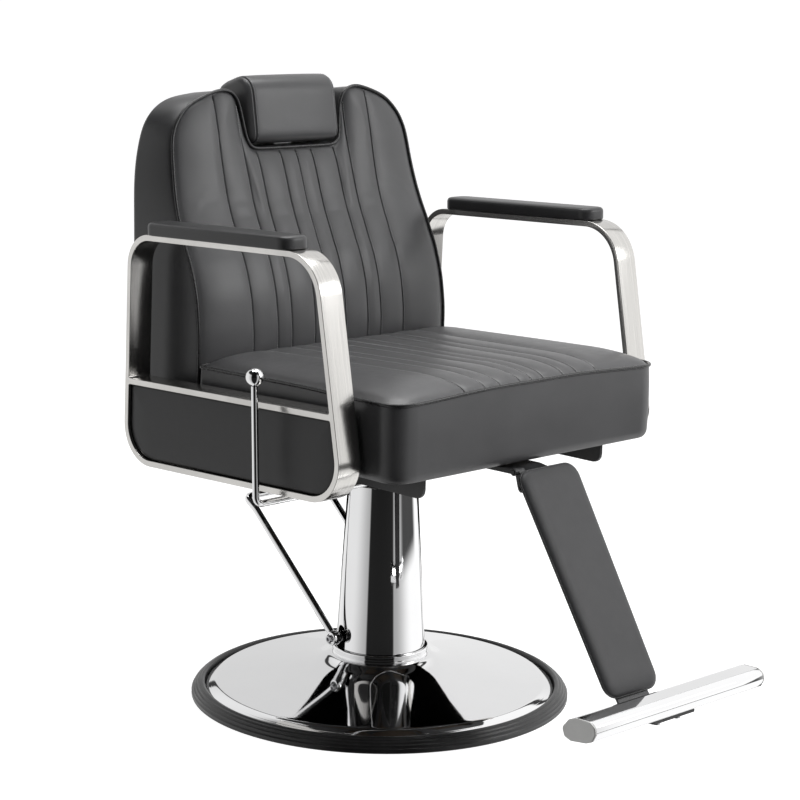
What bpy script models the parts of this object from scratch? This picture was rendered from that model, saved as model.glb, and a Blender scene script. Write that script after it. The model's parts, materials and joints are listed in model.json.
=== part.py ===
"""Hydraulic barber chair: pump base, reclining back, linked leg rest.

Metres, +Z up.  The origin is on the floor under the column axis, the sitter
faces -Y and the sitter's left hand is towards +X.
"""
import math

import bmesh
import bpy
from mathutils import Matrix, Vector

# ------------------------------------------------------------------ shared sizes
GAP = 0.0003                     # clearance between pieces that rest together
SIDES = (("right", -1), ("left", 1))        # name, sign of x

# base and piston
PLATE_T = 0.006                  # thickness of the base plate
ROD_R = 0.0235                   # piston rod
ROD_TOP = 0.3830

# pump: places in the side plane are (y, z)
SHAFT = SHAFT_Y, SHAFT_Z = (0.020, 0.100)
SHAFT_R = 0.0080
PLUNGER_Y = 0.038
PLUNGER_R = 0.0060

# seat rails
RAIL_X = 0.190
RAIL_T = 0.005
RAIL_IN = RAIL_X - RAIL_T / 2 - GAP         # pieces between the rails end here
RAIL_OUT = RAIL_X + RAIL_T / 2 + GAP        # pieces outside the rails start here

# recline and leg rest axes, (y, z)
HINGE = HINGE_Y, HINGE_Z = (0.200, 0.395)
LEG_AXIS = LEG_Y, LEG_Z = (-0.337, 0.400)
CRANK_TIE = (0.0090, 0.0230)     # tie rod pivot, measured from either axis
CRANK_LOCK = (-0.0089, 0.0244)   # lock rod pivot, measured from the hinge
TIE_REAR = (HINGE_Y + CRANK_TIE[0], HINGE_Z + CRANK_TIE[1])
TIE_FRONT = (LEG_Y + CRANK_TIE[0], LEG_Z + CRANK_TIE[1])
LOCK_PIVOT = (HINGE_Y + CRANK_LOCK[0], HINGE_Z + CRANK_LOCK[1])
TIE_X = -0.0500
LOCK_X = 0.1000
CRANK_PIN_R = 0.0028
CRANK_PIN_REACH = 0.0045         # pin end and crank face, each side of the rod

# recline lever axis, (y, z)
LEVER_AXIS = LEVER_Y, LEVER_Z = (-0.1156, 0.3830)


# ------------------------------------------------------------------ scene
for old in list(bpy.data.objects):
    bpy.data.objects.remove(old, do_unlink=True)


def new_collection(name):
    collection = bpy.data.collections.new(name)
    bpy.context.scene.collection.children.link(collection)
    return collection


parts = new_collection("hydraulic_barber_chair")
cutters = new_collection("cutters")


# ------------------------------------------------------------------ materials
CHROME = dict(colour=(0.86, 0.86, 0.87), roughness=0.06, metallic=1.0)
BRUSHED = dict(colour=(0.62, 0.60, 0.57), roughness=0.34, metallic=1.0)
BLACK_STEEL = dict(colour=(0.022, 0.022, 0.023), roughness=0.42, metallic=0.2)
STEEL = dict(colour=(0.45, 0.45, 0.46), roughness=0.35, metallic=1.0)
CAST = dict(colour=(0.10, 0.10, 0.105), roughness=0.60, metallic=0.8)
RUBBER = dict(colour=(0.040, 0.040, 0.042), roughness=0.70, metallic=0.0)
LEATHER = dict(colour=(0.075, 0.075, 0.078), roughness=0.42, metallic=0.0)
PLASTIC = dict(colour=(0.030, 0.030, 0.032), roughness=0.50, metallic=0.0)
GREY_CAP = dict(colour=(0.36, 0.36, 0.35), roughness=0.45, metallic=0.0)
WOOD = dict(colour=(0.45, 0.32, 0.20), roughness=0.70, metallic=0.0)


def material(name, colour, roughness, metallic):
    mat = bpy.data.materials.new(name)
    mat.use_nodes = True
    shader = mat.node_tree.nodes["Principled BSDF"]
    shader.inputs["Base Color"].default_value = (*colour, 1.0)
    shader.inputs["Roughness"].default_value = roughness
    shader.inputs["Metallic"].default_value = metallic
    mat.diffuse_color = (*colour, 1.0)
    return mat


# ------------------------------------------------------------------ object helpers
def set_parent(obj, parent):
    """Parent obj without moving it."""
    obj.parent = parent
    obj.matrix_parent_inverse = parent.matrix_world.inverted()


def add(obj, look, axis=None):
    """Put a finished piece in the chair, with its own material."""
    parts.objects.link(obj)
    obj.data.materials.clear()
    obj.data.materials.append(material(obj.name + "_mat", **look))
    if axis is not None:
        set_parent(obj, axis)


def empty(name, location, parent=None):
    obj = bpy.data.objects.new(name, None)
    obj.empty_display_size = 0.03
    parts.objects.link(obj)
    obj.location = location
    if parent is not None:
        set_parent(obj, parent)
    bpy.context.view_layer.update()         # children read matrix_world
    return obj


def boolean(obj, tool, operation):
    cutters.objects.link(tool)
    tool.hide_render = True
    tool.display_type = 'WIRE'
    mod = obj.modifiers.new(operation.lower(), 'BOOLEAN')
    mod.operation = operation
    mod.solver = 'EXACT'
    mod.object = tool


def cut(obj, *tools):
    for tool in tools:
        boolean(obj, tool, 'DIFFERENCE')


def join(obj, *tools):
    for tool in tools:
        boolean(obj, tool, 'UNION')


def bevel(obj, width, segments, angle=40):
    mod = obj.modifiers.new("round", 'BEVEL')
    mod.width = width
    mod.segments = segments
    mod.limit_method = 'ANGLE'
    mod.angle_limit = math.radians(angle)
    return obj


def smooth(obj, angle):
    for face in obj.data.polygons:
        face.use_smooth = True
    obj.data.set_sharp_from_angle(angle=math.radians(angle))


def mesh_obj(name, bm):
    mesh = bpy.data.meshes.new(name)
    bm.to_mesh(mesh)
    bm.free()
    return bpy.data.objects.new(name, mesh)


# ------------------------------------------------------------------ solids
def box(name, corner, opposite):
    """A box between any two opposite corners."""
    bm = bmesh.new()
    bmesh.ops.create_cube(bm, size=1.0)
    size = [abs(b - a) for a, b in zip(corner, opposite)]
    bmesh.ops.scale(bm, vec=size, verts=bm.verts)
    obj = mesh_obj(name, bm)
    obj.location = [(a + b) / 2 for a, b in zip(corner, opposite)]
    return obj


def cylinder(name, radius, start, end, segments):
    """A round bar from point start to point end."""
    start, end = Vector(start), Vector(end)
    bm = bmesh.new()
    bmesh.ops.create_cone(bm, cap_ends=True, segments=segments, radius1=radius,
                          radius2=radius, depth=(end - start).length)
    obj = mesh_obj(name, bm)
    obj.rotation_mode = 'QUATERNION'
    obj.rotation_quaternion = (end - start).to_track_quat('Z', 'Y')
    obj.location = (start + end) / 2
    smooth(obj, 35)
    return obj


def x_bar(name, radius, x0, x1, yz, segments):
    return cylinder(name, radius, (x0, *yz), (x1, *yz), segments)


def z_bar(name, radius, xy, z0, z1, segments):
    return cylinder(name, radius, (*xy, z0), (*xy, z1), segments)


def turned(name, profile, steps):
    """A profile of (radius, z) points turned about Z by a screw modifier.

    A profile that starts on the axis stays open; any other is closed.
    """
    bm = bmesh.new()
    verts = [bm.verts.new((radius, 0.0, z)) for radius, z in profile]
    for pair in zip(verts, verts[1:]):
        bm.edges.new(pair)
    if profile[0][0] > 0:
        bm.edges.new((verts[-1], verts[0]))
    obj = mesh_obj(name, bm)
    mod = obj.modifiers.new("turn", 'SCREW')
    mod.axis = 'Z'
    mod.angle = math.tau
    mod.steps = steps
    mod.render_steps = steps
    mod.use_merge_vertices = True
    mod.merge_threshold = 0.00001
    mod.use_smooth_shade = True
    return obj


def curve_to_mesh(name, curve, sharp_angle):
    """A mesh object made from curve data, with its seams welded."""
    temp = bpy.data.objects.new(name + "_outline", curve)
    bpy.context.scene.collection.objects.link(temp)
    bpy.context.view_layer.update()
    depsgraph = bpy.context.evaluated_depsgraph_get()
    mesh = bpy.data.meshes.new_from_object(temp.evaluated_get(depsgraph))
    bpy.data.objects.remove(temp, do_unlink=True)
    bm = bmesh.new()
    bm.from_mesh(mesh)
    bmesh.ops.remove_doubles(bm, verts=bm.verts, dist=0.00001)
    bmesh.ops.recalc_face_normals(bm, faces=bm.faces)
    bm.to_mesh(mesh)
    bm.free()
    mesh.name = name
    obj = bpy.data.objects.new(name, mesh)
    smooth(obj, sharp_angle)
    return obj


def add_spline(curve, points):
    """Add a straight-sided spline through 3-D points."""
    spline = curve.splines.new('POLY')
    spline.points.add(len(points) - 1)
    for target, point in zip(spline.points, points):
        target.co = (*point, 1.0)
    return spline


# rotation that lays an XY outline square to each axis
PLANES = {'X': (math.pi / 2, 0, math.pi / 2), 'Y': (math.pi / 2, 0, 0),
          'Z': (0, 0, 0)}


def flat(name, loops, half, axis, location=(0, 0, 0)):
    """A flat outline (first loop) with holes (the rest), half thick each way.

    axis X: the outline is (y, z).  axis Y: (x, z).  axis Z: (x, y).
    """
    curve = bpy.data.curves.new(name, 'CURVE')
    curve.dimensions = '2D'
    curve.fill_mode = 'BOTH'
    curve.extrude = half
    for loop in loops:
        spline = add_spline(curve, [(u, v, 0.0) for u, v in loop])
        spline.use_cyclic_u = True
    obj = curve_to_mesh(name, curve, 25)
    obj.rotation_euler = PLANES[axis]
    obj.location = location
    return obj


def tube_curve(name, points, radius):
    curve = bpy.data.curves.new(name, 'CURVE')
    curve.dimensions = '3D'
    curve.bevel_depth = radius
    curve.bevel_resolution = 2
    curve.use_fill_caps = True
    add_spline(curve, points)
    return curve


# ------------------------------------------------------------------ outlines
def fillet(before, corner, after, radius):
    """Centre of a corner's arc, and the vectors from it to the arc's ends."""
    to_before = (before - corner).normalized()
    to_after = (after - corner).normalized()
    half = math.acos(max(-1, min(1, to_before.dot(to_after)))) / 2
    centre = corner + (to_before + to_after).normalized() * (radius / math.sin(half))
    reach = radius / math.tan(half)
    return (centre, corner + to_before * reach - centre,
            corner + to_after * reach - centre)


def rounded(corners, segments):
    """Corner list (u, v, radius) -> points with every corner rounded."""
    points = []
    for i, (u, v, radius) in enumerate(corners):
        corner = Vector((u, v))
        if radius <= 0:
            points.append(tuple(corner))
            continue
        centre, start, end = fillet(Vector(corners[i - 1][:2]), corner,
                                    Vector(corners[(i + 1) % len(corners)][:2]), radius)
        first = math.atan2(start.y, start.x)
        last = math.atan2(end.y, end.x)
        sweep = (last - first + math.pi) % math.tau - math.pi
        for k in range(segments + 1):
            angle = first + sweep * k / segments
            points.append((centre.x + radius * math.cos(angle),
                           centre.y + radius * math.sin(angle)))
    return points


def arc_path(points, radii, segments):
    """3-D polyline with its inner corners rounded to the given radii."""
    points = [Vector(p) for p in points]
    path = [points[0]]
    for before, corner, after, radius in zip(points, points[1:], points[2:], radii):
        centre, start, end = fillet(before, corner, after, radius)
        angle = start.angle(end)
        for k in range(segments + 1):
            part = k / segments
            path.append(centre + (start * math.sin((1 - part) * angle)
                                  + end * math.sin(part * angle)) / math.sin(angle))
    path.append(points[-1])
    return path


def circle(centre, radius):
    return [(centre[0] + radius * math.cos(math.tau * k / 20),
             centre[1] + radius * math.sin(math.tau * k / 20)) for k in range(20)]


def inset(corners, distance):
    """Move every side of a convex corner list inwards (radii shrink)."""
    count = len(corners)
    points = [Vector(c[:2]) for c in corners]
    area = sum(points[i - 1].x * points[i].y - points[i].x * points[i - 1].y
               for i in range(count))
    turn = 1 if area > 0 else -1
    sides = []                              # point on the moved side, direction
    for i in range(count):
        along = (points[(i + 1) % count] - points[i]).normalized()
        inward = Vector((-along.y, along.x)) * turn
        sides.append((points[i] + inward * distance, along))
    result = []
    for i in range(count):
        start, along = sides[i - 1]
        other, across = sides[i]
        to_other = other - start
        step = ((to_other.x * across.y - to_other.y * across.x)
                / (along.x * across.y - along.y * across.x))
        meet = start + along * step
        result.append((meet.x, meet.y, max(corners[i][2] - distance, 0.001)))
    return result


def strip(path, thickness):
    """Outline of a bent flat bar that follows a path."""
    path = [Vector(p) for p in path]
    runs = [(b - a).normalized() for a, b in zip(path, path[1:])]
    left, right = [], []
    for point, before, after in zip(path, runs[:1] + runs, runs + runs[-1:]):
        mean = (before + after).normalized()
        normal = Vector((-mean.y, mean.x))
        mitre = max(0.3, normal.dot(Vector((-before.y, before.x))))
        offset = thickness / 2 / mitre
        left.append(tuple(point + normal * offset))
        right.append(tuple(point - normal * offset))
    return left + right[::-1]


def crank(name, x0, x1, hub, tip, tip_r, hub_r):
    """A flat link from a round hub to a smaller round tip, both (y, z)."""
    base = math.atan2(*reversed((Vector(tip) - Vector(hub)).normalized()))
    outline = []
    for centre, radius, start in ((hub, hub_r, base + math.pi / 2),
                                  (tip, tip_r, base - math.pi / 2)):
        for k in range(7):
            angle = start + math.pi * k / 6
            outline.append((centre[0] + radius * math.cos(angle),
                            centre[1] + radius * math.sin(angle)))
    return flat(name, [outline], (x1 - x0) / 2, 'X', ((x0 + x1) / 2, 0, 0))


# ------------------------------------------------------------------ axes
lift_axis = empty("axis_height", (0, 0, 0.25))
swivel_axis = empty("axis_swivel", (0, 0, 0.39), lift_axis)
pump_axis = empty("axis_pump_lever", (0, *SHAFT))
plunger_axis = empty("axis_plunger", (0, PLUNGER_Y, 0.06))
back_axis = empty("axis_recline", (0, *HINGE), swivel_axis)
leg_axis = empty("axis_leg_rest", (0, *LEG_AXIS), swivel_axis)
head_axis = empty("axis_headrest", (0, 0.247, 0.85), back_axis)
tie_axis = empty("axis_tie_rod", (0, *TIE_REAR), back_axis)
lock_axis = empty("axis_lock_rod", (LOCK_X, 0.0, LOCK_PIVOT[1]), swivel_axis)
lever_axis = empty("axis_recline_lever", (0, *LEVER_AXIS), swivel_axis)
pin_axis = empty("axis_release_pin", (LOCK_X, -0.155, LOCK_PIVOT[1]), swivel_axis)

# ------------------------------------------------------------------ base
RING_R = 0.300                   # rubber ring, outside radius
DOME_R = 0.2775                  # rim of the chromed dome
PLATE_R = 0.274
DOME_TOP = 0.0665
DOME_BORE = 0.0660
DOME_WALL = 0.0025

add(z_bar("base_plate", PLATE_R, (0, 0), 0, PLATE_T, 40), CAST)

ring_profile = [                 # (radius, z)
    (DOME_R + GAP, 0.0212), (0.2825, 0.0222), (0.2880, 0.0190), (0.2940, 0.0150),
    (0.2985, 0.0100), (RING_R, 0.0050), (0.2955, 0.0), (DOME_R + GAP, 0.0)]
add(turned("base_ring", ring_profile, 48), RUBBER)

dome_outer = [                   # (radius, z), bore to rim
    (DOME_BORE, DOME_TOP), (0.0790, DOME_TOP), (0.0850, 0.0628), (0.0980, 0.0570),
    (0.1300, 0.0488), (0.1850, 0.0390), (0.2500, 0.0282), (0.2720, 0.0235),
    (0.2768, 0.0190), (DOME_R, PLATE_T + GAP)]
dome_inner = [                   # (radius, z), rim to bore
    (DOME_R - DOME_WALL, PLATE_T + GAP), (0.2700, 0.0200), (0.1850, 0.0358),
    (0.1100, 0.0500), (0.0810, 0.0620), (DOME_BORE, 0.0640)]
add(turned("base_dome", dome_outer + dome_inner, 48), CHROME)

# ------------------------------------------------------------------ column
COVER_LOW_R = 0.0714             # column cover, radius at its foot
COVER_TOP_R = 0.0549
COVER_WALL = 0.0020
COVER_Z0 = 0.067
COVER_Z1 = 0.345
COLLAR_R = 0.0766
COLLAR_BORE = 0.0720
COLLAR_Z0 = 0.0668
COLLAR_Z1 = 0.0812
SLOT_HALF = 0.0125               # slots in the cover for the pump shaft
SLOT_Z0 = 0.060
SLOT_Z1 = 0.1175
SLOT_CORNER = 0.0122
BUSH_BORE = 0.0240               # bush and gland nut, around the piston rod

add(turned("column_collar",
           [(COLLAR_BORE, COLLAR_Z1), (0.0752, COLLAR_Z1), (COLLAR_R, 0.0795),
            (COLLAR_R, COLLAR_Z0), (COLLAR_BORE, COLLAR_Z0)], 40), CHROME)

cover = turned("column_cover",
               [(COVER_TOP_R - COVER_WALL, COVER_Z1), (COVER_TOP_R, COVER_Z1),
                (COVER_LOW_R, COVER_Z0), (COVER_LOW_R - COVER_WALL, COVER_Z0)], 40)
slot_corners = ((SHAFT_Y - SLOT_HALF, SLOT_Z0, 0), (SHAFT_Y + SLOT_HALF, SLOT_Z0, 0),
                (SHAFT_Y + SLOT_HALF, SLOT_Z1, SLOT_CORNER),
                (SHAFT_Y - SLOT_HALF, SLOT_Z1, SLOT_CORNER))
cut(cover, flat("cover_slot_cut", [rounded(slot_corners, 5)], 0.10, 'X'))
add(cover, CHROME)

add(turned("column_bush", [(BUSH_BORE, 0.3440), (0.0522, 0.3440),
                           (0.0530, 0.3300), (BUSH_BORE, 0.3300)], 24), PLASTIC)

HOUSING_R = 0.0520
HOUSING_FOOT_R = 0.0620
HOUSING_FOOT_Z = 0.0165          # top of the wider foot
HOUSING_TOP = 0.1280
housing = turned("pump_housing",
                 [(0.0, HOUSING_TOP), (HOUSING_R, HOUSING_TOP),
                  (HOUSING_R, HOUSING_FOOT_Z), (HOUSING_FOOT_R, HOUSING_FOOT_Z),
                  (HOUSING_FOOT_R, PLATE_T + GAP), (0.0, PLATE_T + GAP)], 24)
cut(housing,
    x_bar("housing_shaft_bore", SHAFT_R + GAP, -0.08, 0.08, SHAFT, 20),
    box("housing_cam_slot", (-0.0110, 0.0, 0.0660), (0.0110, 0.0700, 0.1180)),
    z_bar("housing_plunger_bore", PLUNGER_R + 0.0005, (0, PLUNGER_Y), 0.0300, 0.0700, 20))
add(housing, CAST)

CYL_R = 0.0340
CYL_BORE = 0.0255
CYL_Z0 = HOUSING_TOP + GAP
CYL_FLOOR = 0.1333
CYL_TOP = 0.3000
add(turned("hydraulic_cylinder",
           [(0.0, CYL_FLOOR), (CYL_BORE, CYL_FLOOR), (CYL_BORE, CYL_TOP),
            (CYL_R, CYL_TOP), (CYL_R, CYL_Z0), (0.0, CYL_Z0)], 24), STEEL)

NUT_R = 0.0380
add(turned("gland_nut",
           [(BUSH_BORE, 0.3180), (0.0370, 0.3180), (NUT_R, 0.3170),
            (NUT_R, CYL_TOP + GAP), (BUSH_BORE, CYL_TOP + GAP)], 24), STEEL)

# ------------------------------------------------------------------ pump lever
FOOT_LEVER_X = 0.0810            # the two arms of the foot lever
FOOT_LEVER_R = 0.0060
SHAFT_END = 0.0895
CLAMP_R = 0.0110
CLAMP_HALF = 0.0090              # half length of a clamp along the shaft
CLAMP_EDGE = 0.0010              # chamfer

add(x_bar("pump_shaft", SHAFT_R, -SHAFT_END, SHAFT_END, SHAFT, 20), CHROME, pump_axis)

cam_corners = (                  # (y, z, corner radius)
    (SHAFT_Y - 0.0140, SHAFT_Z - 0.0110, 0.008),
    (PLUNGER_Y - 0.004, SHAFT_Z - 0.0110, 0.0),
    (PLUNGER_Y - 0.003, SHAFT_Z - 0.0150, 0.002),
    (PLUNGER_Y + 0.004, SHAFT_Z - 0.0150, 0.003),
    (PLUNGER_Y + 0.006, SHAFT_Z + 0.0040, 0.003),
    (SHAFT_Y - 0.0140, SHAFT_Z + 0.0120, 0.008))
add(flat("pump_cam", [rounded(cam_corners, 3), circle(SHAFT, SHAFT_R + GAP)],
         0.0080, 'X'), STEEL, pump_axis)

# one arm of the lever, (y, z) from the clamp to the cross bar
arm_bends = ((SHAFT_Y + 0.0085, SHAFT_Z + 0.0078), (0.2100, 0.2720), (0.2360, 0.2885))
foot_lever_path = arc_path([(-FOOT_LEVER_X, *bend) for bend in arm_bends]
                           + [(FOOT_LEVER_X, *bend) for bend in reversed(arm_bends)],
                           (0.030, 0.0120, 0.0120, 0.030), 4)
add(bpy.data.objects.new("pump_lever",
                         tube_curve("pump_lever", foot_lever_path, FOOT_LEVER_R)),
    CHROME, pump_axis)

clamp_profile = [                # (radius, height along the shaft)
    (SHAFT_R + 0.0002, CLAMP_HALF), (CLAMP_R - CLAMP_EDGE, CLAMP_HALF),
    (CLAMP_R, CLAMP_HALF - CLAMP_EDGE), (CLAMP_R, CLAMP_EDGE - CLAMP_HALF),
    (CLAMP_R - CLAMP_EDGE, -CLAMP_HALF), (SHAFT_R + 0.0002, -CLAMP_HALF)]
clamp_screw_profile = [          # (radius, height)
    (0.0, 0.0052), (0.0035, 0.0052), (0.0055, 0.0040), (0.0058, 0.0), (0.0, 0.0)]

for side, sign in SIDES:
    arm_x = sign * FOOT_LEVER_X
    clamp = turned("lever_clamp_" + side, clamp_profile, 20)
    clamp.rotation_euler = (0, math.pi / 2, 0)
    clamp.location = (arm_x, *SHAFT)
    # the lever's arm passes into a notch in the clamp
    cut(clamp, cylinder("clamp_notch_" + side, FOOT_LEVER_R + 0.0004,
                        (arm_x, SHAFT_Y + 0.0068, SHAFT_Z + 0.0062),
                        (arm_x, 0.0600, 0.1380), 20))
    add(clamp, CHROME, pump_axis)
    screw = turned("clamp_screw_" + side, clamp_screw_profile, 16)
    screw.rotation_euler = (0, sign * math.pi / 2, 0)
    screw.location = (sign * (FOOT_LEVER_X + CLAMP_HALF + GAP), *SHAFT)
    add(screw, STEEL, pump_axis)

add(z_bar("pump_plunger", PLUNGER_R, (0, PLUNGER_Y), 0.0400, SHAFT_Z - 0.0158, 16),
    STEEL, plunger_axis)

# ------------------------------------------------------------------ lift
FOOT_R = 0.0250                  # thicker foot of the rod
FOOT_Z0 = 0.1360
WASHER_R = 0.0200
WASHER_TOP = ROD_TOP + 0.0033

add(turned("piston_rod",
           [(0.0, ROD_TOP), (ROD_R - 0.001, ROD_TOP), (ROD_R, ROD_TOP - 0.001),
            (ROD_R, 0.1500), (FOOT_R, 0.1490), (FOOT_R, FOOT_Z0), (0.0, FOOT_Z0)],
           24), CHROME, lift_axis)
add(turned("thrust_washer", [(0.0, WASHER_TOP), (WASHER_R, WASHER_TOP),
                             (WASHER_R, ROD_TOP + GAP), (0.0, ROD_TOP + GAP)], 24),
    STEEL, lift_axis)

# ------------------------------------------------------------------ seat frame
RAIL_Z0 = 0.3950
RAIL_Z1 = 0.4282
RAIL_FRONT = -0.2840
RAIL_REAR = 0.217
RAIL_DROP = HINGE_Z - 0.016      # underside below the hinge
LUG_Z0 = LEVER_Z - 0.0095        # underside of the lug for the recline lever
MOUNT_HALF = 0.090

mount = box("seat_mount_plate", (-MOUNT_HALF, -MOUNT_HALF, 0.3875),
            (MOUNT_HALF, MOUNT_HALF, 0.3935))
join(mount, z_bar("mount_socket", 0.0340, (0, 0), 0.3505, 0.3930, 28))
cut(mount, z_bar("mount_bore", ROD_R + 0.0004, (0, 0), 0.3400, WASHER_TOP + 0.0004, 32))
add(mount, BLACK_STEEL, swivel_axis)

rail_corners = (                 # (y, z, corner radius)
    (RAIL_FRONT, RAIL_Z1, 0.004), (RAIL_FRONT, RAIL_Z0, 0.014),
    (LEVER_Y - 0.012, RAIL_Z0, 0.0), (LEVER_Y - 0.010, LUG_Z0, 0.006),
    (LEVER_Y + 0.010, LUG_Z0, 0.006), (LEVER_Y + 0.012, RAIL_Z0, 0.0),
    (0.172, RAIL_Z0, 0.006), (0.184, RAIL_DROP, 0.010),
    (RAIL_REAR, RAIL_DROP, 0.014), (RAIL_REAR, RAIL_Z1, 0.014))
for side, sign in SIDES:
    add(flat("side_rail_" + side,
             [rounded(rail_corners, 4), circle(HINGE, 0.0064),
              circle(LEVER_AXIS, 0.0053)],
             RAIL_T / 2, 'X', (sign * RAIL_X, 0, 0)), BLACK_STEEL, swivel_axis)

for name, y0, y1 in (("cross_member_front", -0.158, -0.132),
                     ("cross_member_middle", -0.086, -0.060),
                     ("cross_member_rear", 0.060, 0.086)):
    add(bevel(box(name, (-RAIL_IN, y0, 0.3938), (RAIL_IN, y1, 0.3998)),
              width=0.001, segments=1), BLACK_STEEL, swivel_axis)

# ------------------------------------------------------------------ seat
SEAT_Z0 = 0.4300
SEAT_Z1 = 0.5480                 # top of the cushion over the column
SEAT_RISE = 0.030                # slope of its top, rising towards the front
SEAT_HALF = 0.272                # half width at the rear
SEAT_HALF_FRONT = 0.2785
SEAT_FRONT = -0.3180
SEAT_REAR = 0.1270
SEAT_CORNER = 0.037              # plan radius, front and rear
SEAT_CORNER_REAR = 0.014
BOARD_HALF = 0.232
BOARD_FRONT, BOARD_REAR = -0.268, 0.112
BOARD_Z1 = 0.4430
POCKET_GAP = 0.0005              # around the edge of the board

add(box("seat_board", (-BOARD_HALF, BOARD_FRONT, 0.4288),
        (BOARD_HALF, BOARD_REAR, BOARD_Z1)), WOOD, swivel_axis)

seat_corners = ((-SEAT_HALF, SEAT_REAR, SEAT_CORNER_REAR),
                (-SEAT_HALF_FRONT, SEAT_FRONT, SEAT_CORNER),
                (SEAT_HALF_FRONT, SEAT_FRONT, SEAT_CORNER),
                (SEAT_HALF, SEAT_REAR, SEAT_CORNER_REAR))
seat = flat("seat_cushion", [rounded(seat_corners, 6)], (SEAT_Z1 - SEAT_Z0) / 2, 'Z',
            (0, 0, (SEAT_Z1 + SEAT_Z0) / 2))
for vert in seat.data.vertices:
    if vert.co.z > 0:
        vert.co.z -= SEAT_RISE * vert.co.y
bevel(seat, width=0.012, segments=2, angle=50)
cut(seat, box("seat_board_pocket",
              (-BOARD_HALF - POCKET_GAP, BOARD_FRONT - POCKET_GAP, 0.4200),
              (BOARD_HALF + POCKET_GAP, BOARD_REAR + POCKET_GAP, BOARD_Z1 + GAP)))
add(seat, LEATHER, swivel_axis)

# ------------------------------------------------------------------ arms
ARM_X = 0.3119
ARM_HALF = 0.0208
ARM_T = 0.0090                   # thickness of the frame's bars
ARM_CORNERS = (                  # (y, z, corner radius)
    (0.2158, 0.7374, 0.052), (-0.2067, 0.7498, 0.070),
    (-0.2697, 0.4004, 0.060), (0.2297, 0.3835, 0.060))
MID_REAR_Y, MID_REAR_Z = 0.2119, 0.5155         # top of the middle bar
MID_FRONT_Y, MID_FRONT_Z = -0.2400, 0.5290
ARM_PAD_X, ARM_PAD_Y = 0.3150, 0.009
ARM_PAD_HALF = 0.0095            # half the thickness of an arm pad
ARM_PAD_HALF_WIDTH = 0.0255
ARM_PAD_HALF_LENGTH = 0.161
ARM_PAD_CORNER = 0.020
BRACKET_FRONT, BRACKET_REAR = -0.080, 0.070
BRACKET_T = 0.005

opening = inset(ARM_CORNERS, ARM_T)


def opening_y(z, i, j):
    """y on the straight side between opening corners i and j at height z."""
    (y0, z0, _), (y1, z1, _) = opening[i], opening[j]
    return y0 + (y1 - y0) * (z - z0) / (z1 - z0)


def middle_bar_corners(drop):
    """Rear and front opening corners at `drop` below the middle bar's top."""
    corners = []
    for z, i, j in ((MID_REAR_Z, 0, 3), (MID_FRONT_Z, 1, 2)):
        y = opening_y(z - drop, i, j)
        top = (MID_REAR_Z + (MID_FRONT_Z - MID_REAR_Z) * (MID_REAR_Y - y)
               / (MID_REAR_Y - MID_FRONT_Y))
        corners.append((y, top - drop, 0.003))
    return corners


upper_open = opening[:2] + middle_bar_corners(0)[::-1]
lower_open = middle_bar_corners(ARM_T) + opening[2:]
panel_corners = inset(lower_open, 0.0006)
pad_corners = [(x * ARM_PAD_HALF_WIDTH, y * ARM_PAD_HALF_LENGTH, ARM_PAD_CORNER)
               for x, y in ((-1, -1), (1, -1), (1, 1), (-1, 1))]
pad_slope = math.atan2(ARM_CORNERS[1][1] - ARM_CORNERS[0][1],
                       ARM_CORNERS[0][0] - ARM_CORNERS[1][0])
pad_z = (ARM_CORNERS[0][1] + (ARM_CORNERS[0][0] - ARM_PAD_Y) * math.tan(pad_slope)
         + (ARM_PAD_HALF + GAP) / math.cos(pad_slope))

for side, sign in SIDES:
    add(flat("arm_frame_" + side,
             [rounded(ARM_CORNERS, 8), rounded(upper_open, 8), rounded(lower_open, 8)],
             ARM_HALF, 'X', (sign * ARM_X, 0, 0)), BRUSHED, swivel_axis)

    panel = flat("arm_panel_" + side, [rounded(panel_corners, 6)], 0.0160, 'X',
                 (sign * (ARM_X + 0.0012), 0, 0))
    add(bevel(panel, width=0.004, segments=1, angle=50), LEATHER, swivel_axis)

    pad = flat("arm_pad_" + side, [rounded(pad_corners, 4)], ARM_PAD_HALF, 'Z',
               (sign * ARM_PAD_X, ARM_PAD_Y, pad_z))
    pad.rotation_euler = (-pad_slope, 0, 0)
    add(bevel(pad, width=0.0065, segments=2, angle=50), PLASTIC, swivel_axis)

    # an angle from the side rail to the inner face of the arm frame
    outer_x = sign * (ARM_X - ARM_HALF - GAP)
    upright_x = sign * (ARM_X - ARM_HALF - GAP - BRACKET_T)
    arm_bracket = box("arm_bracket_" + side, (sign * RAIL_OUT, BRACKET_FRONT, 0.4080),
                      (outer_x, BRACKET_REAR, 0.4130))
    join(arm_bracket, box("arm_bracket_upright_" + side,
                          (upright_x, BRACKET_FRONT, 0.4085),
                          (outer_x, BRACKET_REAR, 0.5050)))
    add(arm_bracket, BLACK_STEEL, swivel_axis)

# ------------------------------------------------------------------ back
BACK_REAR_Y = 0.2885
BACK_BOARD_Y0, BACK_BOARD_Y1 = 0.2620, 0.2740
RECESS_HALF = 0.2270             # recess in the cushion for board and cover
RECESS_Z0, RECESS_Z1 = 0.4620, 0.8305
COVER_GAP = 0.0006               # around the edge of the back cover
BACK_BRACKET_X = 0.1500
BACK_BRACKET_HALF = 0.0025
GUIDE_HALF = 0.0260
GUIDE_Y0 = 0.2380
GUIDE_Z0 = 0.6960
GUIDE_GAP = 0.0005
POST_HALF = 0.0180               # headrest post
POST_Y0, POST_Y1 = 0.2450, 0.2510
POST_TOP = 0.9040

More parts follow.
